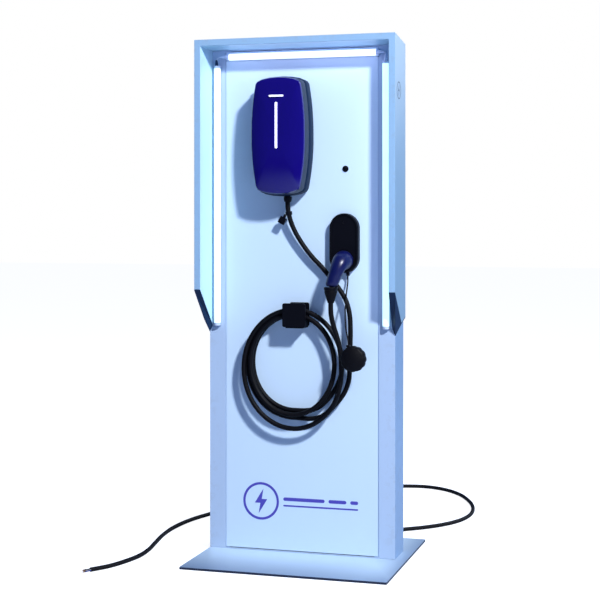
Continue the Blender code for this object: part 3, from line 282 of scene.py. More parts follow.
def supply_cable(finish, copper, core_finishes):
    """From the gland low on the back round the floor, to its stripped cores."""
    plate_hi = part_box("base_plate")[1]
    x, z = middle("supply_gland").x - MIDDLE_X, middle("supply_gland").z
    body_d = BODY_HI.y - BODY_LO.y
    lay = SUPPLY_D / 2 + TOUCH
    route = [
        at(x, body_d - 0.010, z),
        at(x, body_d + 0.054, z),
        at(x + 0.014, body_d + 0.110, 0.046),
        at(x + 0.044, body_d + 0.165, 0.024),
        at(x + 0.085, body_d + 0.209, plate_hi.z + lay + 0.001),
        at(0.222, 0.405, lay + 0.004),
        at(0.265, 0.468, lay),
        at(0.328, 0.520, lay),
        at(0.390, 0.590, lay),
        at(0.440, 0.685, lay),
        at(0.462, 0.810, lay),
        at(0.446, 0.955, lay),
        at(0.402, 1.090, lay),
        at(0.345, 1.200, lay),
        at(0.268, 1.282, lay),
        at(0.180, 1.320, lay),
        at(0.080, 1.306, lay),
        at(-0.060, 1.235, lay),
        at(-0.240, 1.075, lay),
        at(-0.395, 0.860, lay),
        at(-0.490, 0.650, lay),
        at(-0.530, 0.520, lay),
        at(-0.556, 0.430, lay),
        at(-0.571, 0.340, lay),
        at(-0.576, 0.236, lay),
        at(-0.568, 0.125, lay),
        at(-0.549, 0.010, lay),
        at(-0.530, -0.103, lay),
        at(-0.526, -0.190, lay),
        at(-0.540, -0.275, lay),
        at(-0.566, -0.355, lay),
        at(-0.606, -0.420, lay),
    ]
    points = smooth_points(route, 0.016)
    piece = cord_curve("supply_lead", points, SUPPLY_D, finish)
    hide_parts("supply_cable")
    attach(piece, "post")
    cores = core_bundle(points[-1], (points[-1] - points[-2]).normalized(), core_finishes, copper)


def core_bundle(end, run, finishes, copper):
    """Five insulated cores, each with a bare copper end, side by side in the cut sheath."""
    side = run.cross(Vector((0, 0, 1))).normalized()
    pieces = []
    for i, finish in enumerate(finishes):
        a = 2 * math.pi * i / len(finishes) + 0.3
        off = side * 0.0031 * math.cos(a) + Vector((0, 0, 0.0031 * math.sin(a)))
        spread = off * 0.25
        begin = end + off - run * 0.002
        points = smooth_points([begin, begin + run * 0.012, begin + run * 0.024 + spread], 0.003)
        core = tube_mesh(f"supply_core_{i + 1}", points, 0.0034, finish, sides=12)
        tip = points[-1]
        wire = tube_mesh(
            f"supply_core_wire_{i + 1}", [tip - run * 0.001, tip + run * 0.008], 0.0022, copper, sides=10
        )
        for piece in (core, wire):
            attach(piece, "post")
            pieces.append(piece)
    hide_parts("supply_cores")
    return pieces


def lanyard(finish):
    """Thin strap from the holster's eye down to the dust cap."""
    cad_lo, cad_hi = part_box("cap_lanyard")
    x = cad_lo.x + LANYARD_D / 2 - MIDDLE_X
    low = cad_hi.z
    cap_lo, cap_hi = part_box("dust_cap")
    front = cap_lo.y - FRONT_Y
    route = [
        at(x, -0.014, low),
        at(x, -0.014, low - 0.018),
        at(x, -0.038, low - 0.070),
        at(x + 0.003, -0.062, low - 0.125),
        at(x + 0.011, -0.082, low - 0.180),
        at(x + 0.021, front + 0.022, low - 0.208),
        at(x + 0.024, front + 0.018, cap_hi.z + 0.0012),
    ]
    points = smooth_points(route, 0.007)
    piece = cord_curve("cap_strap", points, LANYARD_D, finish)
    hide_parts("cap_lanyard")
    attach(piece, "post")


# ------------------------------------------------------------------ shader groups
def new_group(name, inputs, outputs):
    group = bpy.data.node_groups.new(name, "ShaderNodeTree")
    for socket, kind, value in inputs:
        made = group.interface.new_socket(socket, in_out="INPUT", socket_type=kind)
        if value is not None:
            made.default_value = value
    for socket, kind in outputs:
        group.interface.new_socket(socket, in_out="OUTPUT", socket_type=kind)
    begin = group.nodes.new("NodeGroupInput")
    end = group.nodes.new("NodeGroupOutput")
    return group, begin, end


def math_node(tree, operation, a, b=None):
    node = tree.nodes.new("ShaderNodeMath")
    node.operation = operation
    for socket, value in zip(node.inputs, (a, b)):
        if isinstance(value, (int, float)):
            socket.default_value = value
        elif value is not None:
            tree.links.new(value, socket)
    return node.outputs[0]


def noise_node(tree, vector, scale, detail=3.0, roughness=0.55):
    node = tree.nodes.new("ShaderNodeTexNoise")
    tree.links.new(vector, node.inputs["Vector"])
    if isinstance(scale, (int, float)):
        node.inputs["Scale"].default_value = scale
    else:
        tree.links.new(scale, node.inputs["Scale"])
    node.inputs["Detail"].default_value = detail
    node.inputs["Roughness"].default_value = roughness
    return node.outputs["Fac"]


def mix_colour(tree, factor, a, b, kind="MIX"):
    node = tree.nodes.new("ShaderNodeMix")
    node.data_type = "RGBA"
    node.blend_type = kind
    for socket, value in ((node.inputs[0], factor), (node.inputs[6], a), (node.inputs[7], b)):
        if isinstance(value, (int, float)):
            socket.default_value = value
        elif isinstance(value, tuple):
            socket.default_value = (*value, 1.0)
        else:
            tree.links.new(value, socket)
    return node.outputs[2]


def grain_group():
    """Fine moulded or sprayed texture: a height for a bump, and a roughness."""
    group, begin, end = new_group(
        "surface_grain",
        [
            ("Scale", "NodeSocketFloat", 900.0),
            ("Roughness", "NodeSocketFloat", 0.4),
            ("Variation", "NodeSocketFloat", 0.08),
        ],
        [("Height", "NodeSocketFloat"), ("Roughness", "NodeSocketFloat")],
    )
    where = group.nodes.new("ShaderNodeTexCoord").outputs["Object"]
    fine = noise_node(group, where, begin.outputs["Scale"], 2.0)
    broad = noise_node(group, where, 9.0, 4.0)
    swing = math_node(group, "SUBTRACT", broad, 0.5)
    swing = math_node(group, "MULTIPLY", swing, begin.outputs["Variation"])
    group.links.new(fine, end.inputs["Height"])
    group.links.new(
        math_node(group, "ADD", begin.outputs["Roughness"], swing), end.inputs["Roughness"]
    )
    return group


def tone_group():
    """Slow change of tone over a surface, with a little dust that gathers low down."""
    group, begin, end = new_group(
        "tone",
        [
            ("Colour", "NodeSocketColor", (0.5, 0.5, 0.5, 1.0)),
            ("Second", "NodeSocketColor", (0.5, 0.5, 0.5, 1.0)),
            ("Scale", "NodeSocketFloat", 3.0),
            ("Amount", "NodeSocketFloat", 0.5),
            ("Dust", "NodeSocketFloat", 0.05),
        ],
        [("Colour", "NodeSocketColor")],
    )
    where = group.nodes.new("ShaderNodeTexCoord").outputs["Object"]
    patches = noise_node(group, where, begin.outputs["Scale"], 5.0)
    patches = math_node(group, "MULTIPLY", patches, begin.outputs["Amount"])
    colour = mix_colour(group, patches, begin.outputs["Colour"], begin.outputs["Second"])
    split = group.nodes.new("ShaderNodeSeparateXYZ")
    group.links.new(where, split.inputs[0])
    height = math_node(group, "MULTIPLY", split.outputs["Z"], -9.0)
    low = math_node(group, "POWER", 2.718, height)
    specks = noise_node(group, where, 60.0, 6.0, 0.7)
    dust = math_node(group, "MULTIPLY", math_node(group, "MULTIPLY", low, specks), begin.outputs["Dust"])
    colour = mix_colour(group, dust, colour, (0.42, 0.43, 0.45))
    group.links.new(colour, end.inputs["Colour"])
    return group


def wear_group():
    """Where corners are rubbed bare: 1 on worn spots of an edge, 0 elsewhere."""
    group, begin, end = new_group(
        "edge_wear",
        [("Pointiness", "NodeSocketFloat", 0.5), ("Amount", "NodeSocketFloat", 0.5)],
        [("Mask", "NodeSocketFloat")],
    )
    where = group.nodes.new("ShaderNodeTexCoord").outputs["Object"]
    spots = noise_node(group, where, 45.0, 6.0, 0.65)
    edge = math_node(group, "SUBTRACT", begin.outputs["Pointiness"], 0.53)
    edge = math_node(group, "MULTIPLY", edge, 14.0)
    mask = math_node(group, "MULTIPLY", edge, math_node(group, "GREATER_THAN", spots, 0.56))
    mask = math_node(group, "MULTIPLY", mask, begin.outputs["Amount"])
    node = group.nodes.new("ShaderNodeClamp")
    group.links.new(mask, node.inputs[0])
    group.links.new(node.outputs[0], end.inputs["Mask"])
    return group


GRAIN = grain_group()
TONE = tone_group()
WEAR = wear_group()


# --------------------------------------------------------------------- materials
def place_group(tree, group, **values):
    node = tree.nodes.new("ShaderNodeGroup")
    node.node_tree = group
    for name, value in values.items():
        socket = node.inputs[name]
        if isinstance(value, bpy.types.NodeSocket):
            tree.links.new(value, socket)
        elif isinstance(value, tuple):
            socket.default_value = (*value, 1.0)
        else:
            socket.default_value = value
    return node


def coating(name, colour, second, rough, grain, bump, dust=0.05, wear=0.0, bare=(0.3, 0.32, 0.36), amount=0.5,
            patch=3.0, metal=0.0, coat=0.0, specular=0.5):
    """A painted, moulded or plated surface: tone, grain and worn edges into one shader."""
    made = bpy.data.materials.new(name)
    made.use_nodes = True
    tree = made.node_tree
    shader = tree.nodes["Principled BSDF"]
    tone = place_group(tree, TONE, Colour=colour, Second=second, Scale=patch, Amount=amount, Dust=dust)
    surface = place_group(tree, GRAIN, Scale=grain, Roughness=rough)
    result = tone.outputs["Colour"]
    if wear:
        geometry = tree.nodes.new("ShaderNodeNewGeometry")
        rubbed = place_group(tree, WEAR, Pointiness=geometry.outputs["Pointiness"], Amount=wear)
        result = mix_colour(tree, rubbed.outputs["Mask"], result, bare)
    tree.links.new(result, shader.inputs["Base Color"])
    tree.links.new(surface.outputs["Roughness"], shader.inputs["Roughness"])
    height = tree.nodes.new("ShaderNodeBump")
    height.inputs["Strength"].default_value = bump
    height.inputs["Distance"].default_value = 0.0004
    tree.links.new(surface.outputs["Height"], height.inputs["Height"])
    tree.links.new(height.outputs["Normal"], shader.inputs["Normal"])
    shader.inputs["Metallic"].default_value = metal
    shader.inputs["Coat Weight"].default_value = coat
    shader.inputs["Coat Roughness"].default_value = 0.05
    shader.inputs["Specular IOR Level"].default_value = specular
    return made


def glowing(name, colour, strength, spots=0.06):
    """An opal cover lit from behind, faintly uneven along its length."""
    made = bpy.data.materials.new(name)
    made.use_nodes = True
    tree = made.node_tree
    shader = tree.nodes["Principled BSDF"]
    where = tree.nodes.new("ShaderNodeTexCoord").outputs["Object"]
    uneven = noise_node(tree, where, 30.0, 1.0)
    shade = tuple(c * (1 - spots * 3) for c in colour)
    tree.links.new(mix_colour(tree, uneven, colour, shade), shader.inputs["Emission Color"])
    shader.inputs["Emission Strength"].default_value = strength
    shader.inputs["Base Color"].default_value = (*colour, 1.0)
    shader.inputs["Roughness"].default_value = 0.4
    return made


def plate_paint():
    """The foot plate's paint, with painted shade: darker away from the body, where the light from the body
    falls off, and near black on its edges and underside.
    """
    made = coating("plate_paint", (0.60, 0.78, 0.96), (0.52, 0.70, 0.92), 0.36, 700.0, 0.12,
                   dust=0.0, patch=5.0)
    tree = made.node_tree
    shader = tree.nodes["Principled BSDF"]
    plain = shader.inputs["Base Color"].links[0].from_socket
    split = tree.nodes.new("ShaderNodeSeparateXYZ")
    where = tree.nodes.new("ShaderNodeTexCoord").outputs["Object"]
    tree.links.new(where, split.inputs[0])
    lo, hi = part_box("base_plate")
    ahead = tree.nodes.new("ShaderNodeMapRange")
    ahead.interpolation_type = "SMOOTHSTEP"
    tree.links.new(split.outputs["Y"], ahead.inputs["Value"])
    ahead.inputs["From Min"].default_value = FRONT_Y - 0.02
    ahead.inputs["From Max"].default_value = lo.y - 0.06
    beside = tree.nodes.new("ShaderNodeMapRange")
    beside.interpolation_type = "SMOOTHSTEP"
    tree.links.new(split.outputs["X"], beside.inputs["Value"])
    beside.inputs["From Min"].default_value = BODY_HI.x - 0.08
    beside.inputs["From Max"].default_value = hi.x + 0.05
    # painted shade: darker away from the body's front and sides, where the light from the body falls off
    worn = math_node(tree, "MULTIPLY", math_node(tree, "MAXIMUM", ahead.outputs[0], beside.outputs[0]), 0.72)
    coloured = mix_colour(tree, worn, plain, (0.05, 0.11, 0.27))
    # painted shade: the plate's edges and underside, below its top face, painted near black
    painted_shade_rim = math_node(tree, "LESS_THAN", split.outputs["Z"], hi.z - 0.0004)
    tree.links.new(mix_colour(tree, painted_shade_rim, coloured, (0.012, 0.02, 0.05)), shader.inputs["Base Color"])
    return made


def hood_paint():
    """The hood's paint: satin outside, with painted light on the inner faces round the lit bay, paler as if
    lit by the lamps, and painted shade a tone darker on its outer sides.
    """
    made = coating("hood_paint", (0.31, 0.50, 0.72), (0.27, 0.46, 0.68), 0.34, 1100.0, 0.06, wear=0.3)
    tree = made.node_tree
    shader = tree.nodes["Principled BSDF"]
    plain = shader.inputs["Base Color"].links[0].from_socket
    where = tree.nodes.new("ShaderNodeTexCoord").outputs["Object"]
    split = tree.nodes.new("ShaderNodeSeparateXYZ")
    tree.links.new(where, split.inputs[0])
    lo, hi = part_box("hood_frame")
    across = math_node(tree, "ABSOLUTE", math_node(tree, "SUBTRACT", split.outputs["X"], MIDDLE_X))
    beside = math_node(tree, "LESS_THAN", across, (hi.x - lo.x) / 2 - 0.010)
    below = math_node(tree, "LESS_THAN", split.outputs["Z"], hi.z - 0.010)
    behind = math_node(tree, "GREATER_THAN", split.outputs["Y"], lo.y + 0.0008)
    # painted light: the inner faces of the lit bay painted paler, as if lit by the lamps
    inner = math_node(tree, "MULTIPLY", math_node(tree, "MULTIPLY", beside, below), behind)
    # painted shade: the hood's outer sides painted a tone darker
    outer = math_node(tree, "GREATER_THAN", across, (hi.x - lo.x) / 2 - 0.0006)
    plain = mix_colour(tree, outer, plain, (0.24, 0.40, 0.58))
    tree.links.new(mix_colour(tree, inner, plain, (0.50, 0.74, 0.88)), shader.inputs["Base Color"])
    return made


def shell_paint():
    """The body's paint, with painted shade: a tone darker round its sides than on its front strips."""
    made = coating("shell_paint", (0.46, 0.60, 0.80), (0.42, 0.56, 0.77), 0.36, 1100.0, 0.06,
                   dust=0.15, wear=0.25)
    tree = made.node_tree
    shader = tree.nodes["Principled BSDF"]
    plain = shader.inputs["Base Color"].links[0].from_socket
    where = tree.nodes.new("ShaderNodeTexCoord").outputs["Object"]
    split = tree.nodes.new("ShaderNodeSeparateXYZ")
    tree.links.new(where, split.inputs[0])
    across = math_node(tree, "ABSOLUTE", math_node(tree, "SUBTRACT", split.outputs["X"], MIDDLE_X))
    # painted shade: the body's sides painted a tone darker than its front
    side = math_node(tree, "GREATER_THAN", across, (BODY_HI.x - BODY_LO.x) / 2 - 0.0006)
    side_shade_colour = mix_colour(tree, 1.0, plain, (0.52, 0.66, 0.80), "MULTIPLY")
    tree.links.new(mix_colour(tree, side, plain, side_shade_colour), shader.inputs["Base Color"])
    return made


def cover_gloss():
    """The wallbox cover: deep gloss indigo on its face, matt on the skirt behind, whose dark slate colour is
    painted shade.
    """
    made = coating("indigo_gloss", (0.007, 0.002, 0.16), (0.003, 0.001, 0.10), 0.10, 500.0, 0.008, dust=0.0,
                   amount=0.6, patch=6.0)
    tree = made.node_tree
    shader = tree.nodes["Principled BSDF"]
    face_colour = shader.inputs["Base Color"].links[0].from_socket
    face_rough = shader.inputs["Roughness"].links[0].from_socket
    where = tree.nodes.new("ShaderNodeTexCoord").outputs["Object"]
    split = tree.nodes.new("ShaderNodeSeparateXYZ")
    tree.links.new(where, split.inputs[0])
    lo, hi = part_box("wallbox_cover")
    skirt = math_node(tree, "GREATER_THAN", split.outputs["Y"], lo.y + (hi.y - lo.y) * 0.36)
    # painted shade: the skirt round the cover's sides painted dark slate
    colour = mix_colour(tree, skirt, face_colour, (0.003, 0.014, 0.042))
    tree.links.new(colour, shader.inputs["Base Color"])
    matt = math_node(tree, "ADD", face_rough, math_node(tree, "MULTIPLY", skirt, 0.42))
    tree.links.new(matt, shader.inputs["Roughness"])
    gloss = math_node(tree, "SUBTRACT", 0.3, math_node(tree, "MULTIPLY", skirt, 0.3))
    tree.links.new(gloss, shader.inputs["Coat Weight"])
    return made


def light_bar_glow():
    """The light bar: a lit line down the middle of a dark indigo lens."""
    made = glowing("light_bar_glow", (0.92, 0.95, 1.0), 3.0)
    tree = made.node_tree
    shader = tree.nodes["Principled BSDF"]
    lit = shader.inputs["Emission Color"].links[0].from_socket
    where = tree.nodes.new("ShaderNodeTexCoord").outputs["Object"]
    split = tree.nodes.new("ShaderNodeSeparateXYZ")
    tree.links.new(where, split.inputs[0])
    lo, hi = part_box("wallbox_light_bar")
    off = math_node(tree, "ABSOLUTE", math_node(tree, "SUBTRACT", split.outputs["X"], (lo.x + hi.x) / 2))
    line = math_node(tree, "LESS_THAN", off, (hi.x - lo.x) * 0.30)
    tree.links.new(mix_colour(tree, line, (0.03, 0.02, 0.16), lit), shader.inputs["Emission Color"])
    tree.links.new(mix_colour(tree, line, (0.01, 0.006, 0.08), (0.9, 0.93, 1.0)), shader.inputs["Base Color"])
    return made


def make_finishes():
    return {
        "panel": coating("panel_paint", (0.62, 0.79, 0.97), (0.58, 0.76, 0.96), 0.34, 1100.0, 0.05,
                         dust=0.12),
        "shell": shell_paint(),
        "hood": hood_paint(),
        "plate": plate_paint(),
        # on the wing end caps this navy is painted shade under the wings
        "navy": coating("navy_paint", (0.006, 0.026, 0.075), (0.009, 0.032, 0.09), 0.5, 800.0, 0.1, wear=0.1,
                         specular=0.25),
        "aluminium": coating("aluminium", (0.70, 0.76, 0.82), (0.62, 0.68, 0.74), 0.34, 500.0, 0.05,
                             metal=0.9),
        "lamp_end": coating("lamp_end_plastic", (0.55, 0.66, 0.86), (0.5, 0.6, 0.8), 0.45, 900.0, 0.05),
        "lamp": glowing("lamp_cover", (0.62, 0.93, 1.0), 1.15),
        "top_lamp": glowing("top_lamp_cover", (0.70, 0.78, 1.0), 1.3),
        "bar": light_bar_glow(),
        "indigo": cover_gloss(),
        "slate": coating("slate_plastic", (0.003, 0.014, 0.042), (0.004, 0.017, 0.050), 0.5, 1300.0, 0.18,
                         specular=0.1),
        "black": coating("black_plastic_fine", (0.0012, 0.0014, 0.004), (0.002, 0.0024, 0.006), 0.5, 1400.0,
                         0.2, specular=0.12),
        "rubber": coating("cable_rubber", (0.0014, 0.0014, 0.003), (0.0028, 0.0028, 0.005), 0.55, 1600.0,
                          0.22, dust=0.03, patch=14.0, specular=0.14),
        "handle": coating("handle_plastic", (0.003, 0.006, 0.070), (0.002, 0.004, 0.050), 0.32, 1200.0, 0.05,
                           specular=0.4),
        "grey": coating("grey_moulding", (0.40, 0.42, 0.45), (0.36, 0.38, 0.41), 0.45, 1000.0, 0.1),
        "board": coating("solder_mask", (0.01, 0.10, 0.04), (0.015, 0.13, 0.05), 0.3, 300.0, 0.1, patch=40.0),
        "zinc": coating("zinc_plate", (0.58, 0.60, 0.63), (0.50, 0.52, 0.56), 0.3, 260.0, 0.12,
                        metal=1.0, patch=25.0),
        "graphic": coating("graphic_film", (0.075, 0.065, 0.46), (0.07, 0.06, 0.42), 0.42, 900.0, 0.03),
        # painted light: the pale film on the wallbox cover glows though it is print
        "white_film": glowing("pale_film_painted_glow", (0.85, 0.87, 1.0), 0.8),
        "dark_film": coating("dark_film", (0.02, 0.05, 0.14), (0.02, 0.05, 0.12), 0.5, 900.0, 0.03),
        "copper": coating("bare_copper", (0.72, 0.30, 0.14), (0.6, 0.24, 0.12), 0.35, 1500.0, 0.3, metal=1.0),
        "core_brown": coating("core_brown", (0.10, 0.035, 0.015), (0.12, 0.04, 0.02), 0.4, 900.0, 0.05),
        "core_grey": coating("core_grey", (0.22, 0.22, 0.23), (0.2, 0.2, 0.21), 0.4, 900.0, 0.05),
        "core_blue": coating("core_blue", (0.02, 0.06, 0.35), (0.02, 0.07, 0.4), 0.4, 900.0, 0.05),
        "core_green": coating("core_green", (0.10, 0.30, 0.02), (0.45, 0.42, 0.02), 0.4, 900.0, 0.05,
                              patch=60.0, amount=1.0),
    }


# ------------------------------------------------------------------ making pieces
def finished(name, bm, finish, smooth=35, body=None, node=None):
    """A bmesh as a shaded piece at the origin, riding on a body."""
    bmesh.ops.recalc_face_normals(bm, faces=bm.faces)
    mesh = bpy.data.meshes.new(name)
    bm.to_mesh(mesh)
    bm.free()
    mesh.shade_smooth()
    mesh.set_sharp_from_angle(angle=math.radians(smooth))
    mesh.materials.append(finish)
    piece = bpy.data.objects.new(name, mesh)
    bpy.context.scene.collection.objects.link(piece)
    if node:
        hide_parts(node)
    if body:
        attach(piece, body)
    return piece


def merged_copy(node):
    """The CAD node's shape with its corners joined and its flat faces whole again."""
    bm = bmesh.new()
    bm.from_mesh(NODES[node].data)
    bmesh.ops.remove_doubles(bm, verts=bm.verts, dist=2e-6)
    bmesh.ops.dissolve_limit(
        bm, angle_limit=math.radians(0.6), verts=bm.verts, edges=bm.edges
    )
    return bm


def rounded(bm, width, angle=28, segments=2):
    """Rounds every edge that is sharper than the angle."""
    edges = [
        e
        for e in bm.edges
        if len(e.link_faces) == 2 and e.calc_face_angle(0) > math.radians(angle)
    ]
    bmesh.ops.bevel(
        bm,
        geom=edges,
        offset=width,
        offset_type="OFFSET",
        segments=segments,
        profile=0.5,
        affect="EDGES",
        clamp_overlap=True,
        material=-1,
    )
    return bm


def body_of(node):
    return next(b for b, members in frame["record"]["behaviour"]["bodies"].items() if node in members)


def refine(node, finish, width, angle=28, smooth=40, segments=2):
    """A copy of a CAD node with small rounded edges and its finish, in the node's stead."""
    bm = rounded(merged_copy(node), width, angle, segments)
    piece = finished(node + "_finished", bm, finish, smooth, body_of(node), node)
    return even_shading(piece)


def even_shading(piece):
    """Keeps large flat faces evenly shaded beside their small rounded edges."""
    modifier = piece.modifiers.new("even_shading", "WEIGHTED_NORMAL")
    modifier.keep_sharp = True
    modifier.weight = 100
    return piece


def paint(node, finish):
    """Gives a CAD node its finish."""
    mesh = NODES[node].data
    mesh.materials.clear()
    mesh.materials.append(finish)


# ------------------------------------------------------------------- sheet metal
def sheet_metal(finish):
    refine("front_panel", finish["panel"], 0.0006)
    refine("body_shell", finish["shell"], 0.0011)
    refine("hood_frame", finish["hood"], 0.0012, angle=20)
    refine("base_plate", finish["plate"], 0.0006)
    refine("rear_door", finish["shell"], 0.0005)
    for side in ("left", "right"):
        # painted shade: the wing end caps painted dark navy under the wings
        refine(f"wing_end_{side}", finish["navy"], 0.0005, angle=20)
    for number in (1, 2):
        refine(f"door_hinge_{number}", finish["zinc"], 0.0004)
    refine("lock_barrel", finish["zinc"], 0.0003)
    refine("lock_cam", finish["zinc"], 0.0003)


def lamps(finish):
    for name in ("left", "right", "top"):
        refine(f"led_base_{name}", finish["aluminium"], 0.0006)
        cover = finish["top_lamp"] if name == "top" else finish["lamp"]
        refine(f"led_cover_{name}", cover, 0.0002, angle=60)
        for end in ("a", "b"):
            refine(f"led_end_{name}_{end}", finish["lamp_end"], 0.0006, angle=50)


def lamp_lead(name, points, finish, plugs):
    """Short lead between two lamps, with a moulded plug at each end."""
    path = smooth_points(points, 0.004)
    tube = tube_mesh(name, path, 0.0045, finish, sides=12)
    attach(tube, "post")
    for i, (tip, inner) in enumerate(((path[0], path[2]), (path[-1], path[-3]))):
        run = (inner - tip).normalized()
        bm = bmesh.new()
        bmesh.ops.create_cone(
            bm, cap_ends=True, segments=20, radius1=0.0062, radius2=0.0036, depth=0.020
        )
        turn = Vector((0, 0, 1)).rotation_difference(run).to_matrix().to_4x4()
        bmesh.ops.transform(bm, matrix=Matrix.Translation(tip + run * 0.0095) @ turn, verts=bm.verts)
        rounded(bm, 0.0008)
        finished(f"{name}_plug_{i + 1}", bm, plugs[i], 40, "post", None)


def lamp_leads(finish):
    """A short lead across each upper corner, from the side lamp's end to the top lamp's."""
    for side, end in (("left", "a"), ("right", "b")):
        side_lo, side_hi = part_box(f"led_end_{side}_b")
        top_lo, top_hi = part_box(f"led_end_top_{end}")
        sign = -1 if side == "left" else 1
        start = Vector(((side_lo.x + side_hi.x) / 2, side_lo.y + 0.005, side_hi.z + TOUCH))
        x = top_lo.x if sign < 0 else top_hi.x
        finish_at = Vector((x + sign * TOUCH, top_lo.y + 0.005, (top_lo.z + top_hi.z) / 2))
        corner = Vector((start.x, start.y, finish_at.z))
        lead = [start, start.lerp(corner, 0.5), corner.lerp(start.lerp(finish_at, 0.5), 0.25),
                finish_at.lerp(corner, 0.5), finish_at]
        first_plug = finish["navy"] if sign < 0 else finish["lamp_end"]
        lamp_lead(f"lamp_lead_{side}", lead, finish["lamp_end"], (first_plug, finish["lamp_end"]))


# ----------------------------------------------------------------------- wallbox
def wallbox(finish):
    cover = merged_copy("wallbox_cover")
    rounded(cover, 0.0022, angle=32, segments=3)
    piece = finished("wallbox_cover_finished", cover, finish["indigo"], 50,
                     "post", "wallbox_cover")
    even_shading(piece)
    refine("wallbox_back_shell", finish["slate"], 0.0012, angle=35, smooth=50)
    refine("wallbox_light_bar", finish["bar"], 0.0003, angle=60)
    refine("wallbox_bracket", finish["zinc"], 0.0006)
    refine("wallbox_board", finish["board"], 0.0003)
    refine("wallbox_relay", finish["black"], 0.0003)
    refine("wallbox_terminals", finish["grey"], 0.0006)
    refine("output_gland", finish["black"], 0.0004, angle=50)


def board_parts(finish):
    """Capacitors on the wallbox's board, and screw heads on its terminals."""
    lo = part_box("wallbox_board")[0]
    face = lo.y - TOUCH
    for i in range(4):
        bm = bmesh.new()
        bmesh.ops.create_cone(bm, cap_ends=True, segments=28, radius1=0.006, radius2=0.006, depth=0.016)
        turn = Matrix.Rotation(math.radians(90), 4, "X")
        place = Matrix.Translation((lo.x + 0.092 + 0.018 * (i % 2), face - 0.008, lo.z + 0.030 + 0.02 * i))
        bmesh.ops.transform(bm, matrix=place @ turn, verts=bm.verts)
        finished(f"board_capacitor_{i + 1}", rounded(bm, 0.0008), finish["slate"], 40, "post", None)
    low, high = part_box("wallbox_terminals")
    for i in range(4):
        bm = bmesh.new()
        bmesh.ops.create_cone(bm, cap_ends=True, segments=20, radius1=0.0036, radius2=0.0036, depth=0.002)
        turn = Matrix.Rotation(math.radians(90), 4, "X")
        x = low.x + (high.x - low.x) * (i + 0.5) / 4
        place = Matrix.Translation((x, low.y - TOUCH - 0.001, (low.z + high.z) / 2))
        bmesh.ops.transform(bm, matrix=place @ turn, verts=bm.verts)
        finished(f"terminal_screw_{i + 1}", rounded(bm, 0.0004), finish["zinc"], 40, "post", None)


# ------------------------------------------------------------- holster, connector
def holster(finish):
    refine("holster", finish["black"], 0.0016, angle=30, segments=3)
    refine("button_bezel", finish["black"], 0.0003, angle=50)
    refine("button_cap", finish["black"], 0.0003, angle=50)
    paint("button_switch", finish["grey"])
    refine("cable_hook", finish["black"], 0.0009, angle=40)
    for i, z in enumerate((0.36, -0.36)):
        lo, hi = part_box("holster")
        place = Vector(((lo.x + hi.x) / 2, lo.y + 0.004 - TOUCH, 0))
        place.z = (lo.z + 0.010 + hi.z) / 2 + z * (hi.z - lo.z - 0.01) * 0.95
        screw_head(f"holster_screw_{i + 1}", place, 0.0042, finish["black"])


def screw_head(name, place, radius, finish, body="post", depth=0.0022, toward=-1):
    """A pan-head screw with a round recess, its face toward -Y or +Y."""
    bm = bmesh.new()
    bmesh.ops.create_cone(bm, cap_ends=True, segments=28, radius1=radius, radius2=radius * 0.72, depth=depth)
    front = max(bm.faces, key=lambda f: f.calc_center_median().z if len(f.verts) > 4 else -1)
    bmesh.ops.inset_individual(bm, faces=[front], thickness=radius * 0.38, depth=-depth * 0.4)
    turn = Matrix.Rotation(math.radians(90 * -toward), 4, "X")
    place = Matrix.Translation(place + Vector((0, toward * (depth / 2 + TOUCH), 0)))
    bmesh.ops.transform(bm, matrix=place @ turn, verts=bm.verts)
    return finished(name, rounded(bm, 0.0003), finish, 35, body, None)


def connector(finish):
    grip = merged_copy("connector_body")
    piece = finished("connector_body_finished", grip, finish["handle"], 60, "connector", "connector_body")
    subdivide(piece, 1)
    refine("connector_nose", finish["black"], 0.0008, angle=40)
    refine("connector_insert", finish["grey"], 0.0003, angle=50)
    refine("connector_collar", finish["black"], 0.0004, angle=50)
    refine("connector_nut", finish["rubber"], 0.0004, angle=25)


def subdivide(piece, levels):
    modifier = piece.modifiers.new("smooth", "SUBSURF")
    modifier.levels = levels
    modifier.render_levels = levels


# ---------------------------------------------------------------------- dust cap
def dust_cap(finish):
    """Rubber cap with a ribbed grip round its rim and a lug for its strap."""
    lo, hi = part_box("dust_cap")
    radius = (hi.x - lo.x) / 2
    centre = Vector(((lo.x + hi.x) / 2, 0, lo.z + radius))
    bm = bmesh.new()
    outline = [
        (0.0, 0.0),
        (0.60, 0.0),
        (0.66, 0.0016),
        (0.80, 0.0022),
        (0.90, 0.0052),
        (0.955, 0.010),
        (0.955, 0.030),
        (0.90, 0.0355),
        (0.84, 0.0355),
        (0.84, 0.0075),
        (0.0, 0.0075),
    ]
    chain = [bm.verts.new((r * radius, t, 0)) for r, t in outline]
    edges = [bm.edges.new(pair) for pair in zip(chain, chain[1:])]
    bmesh.ops.spin(
        bm, geom=chain + edges, axis=(0, 1, 0), cent=(0, 0, 0), steps=96, angle=math.tau, use_merge=True
    )
    bmesh.ops.remove_doubles(bm, verts=bm.verts, dist=1e-6)
    for v in bm.verts:
        out = math.hypot(v.co.x, v.co.z)
        if out > 0.85 * radius:
            around = math.atan2(v.co.z, v.co.x)
            swell = 1 + 0.045 * (0.5 + 0.5 * math.cos(around * 12)) ** 0.6
            v.co.x *= swell
            v.co.z *= swell
    bmesh.ops.translate(bm, verts=bm.verts, vec=(centre.x, lo.y, centre.z))
    piece = finished("dust_cap_finished", bm, finish["rubber"], 50, "post", "dust_cap")
    lug = bmesh.new()
    bmesh.ops.create_cube(lug, size=1.0)
    bmesh.ops.scale(lug, verts=lug.verts, vec=(0.012, 0.015, 0.008))
    strap_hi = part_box("cap_lanyard")[1]
    place = (strap_hi.x - LANYARD_D / 2, lo.y + 0.018, hi.z - 0.0045)
    bmesh.ops.translate(lug, verts=lug.verts, vec=place)
    lug_piece = finished("dust_cap_lug", rounded(lug, 0.0025, segments=3), finish["rubber"], 40, "post", None)
    return piece, lug_piece


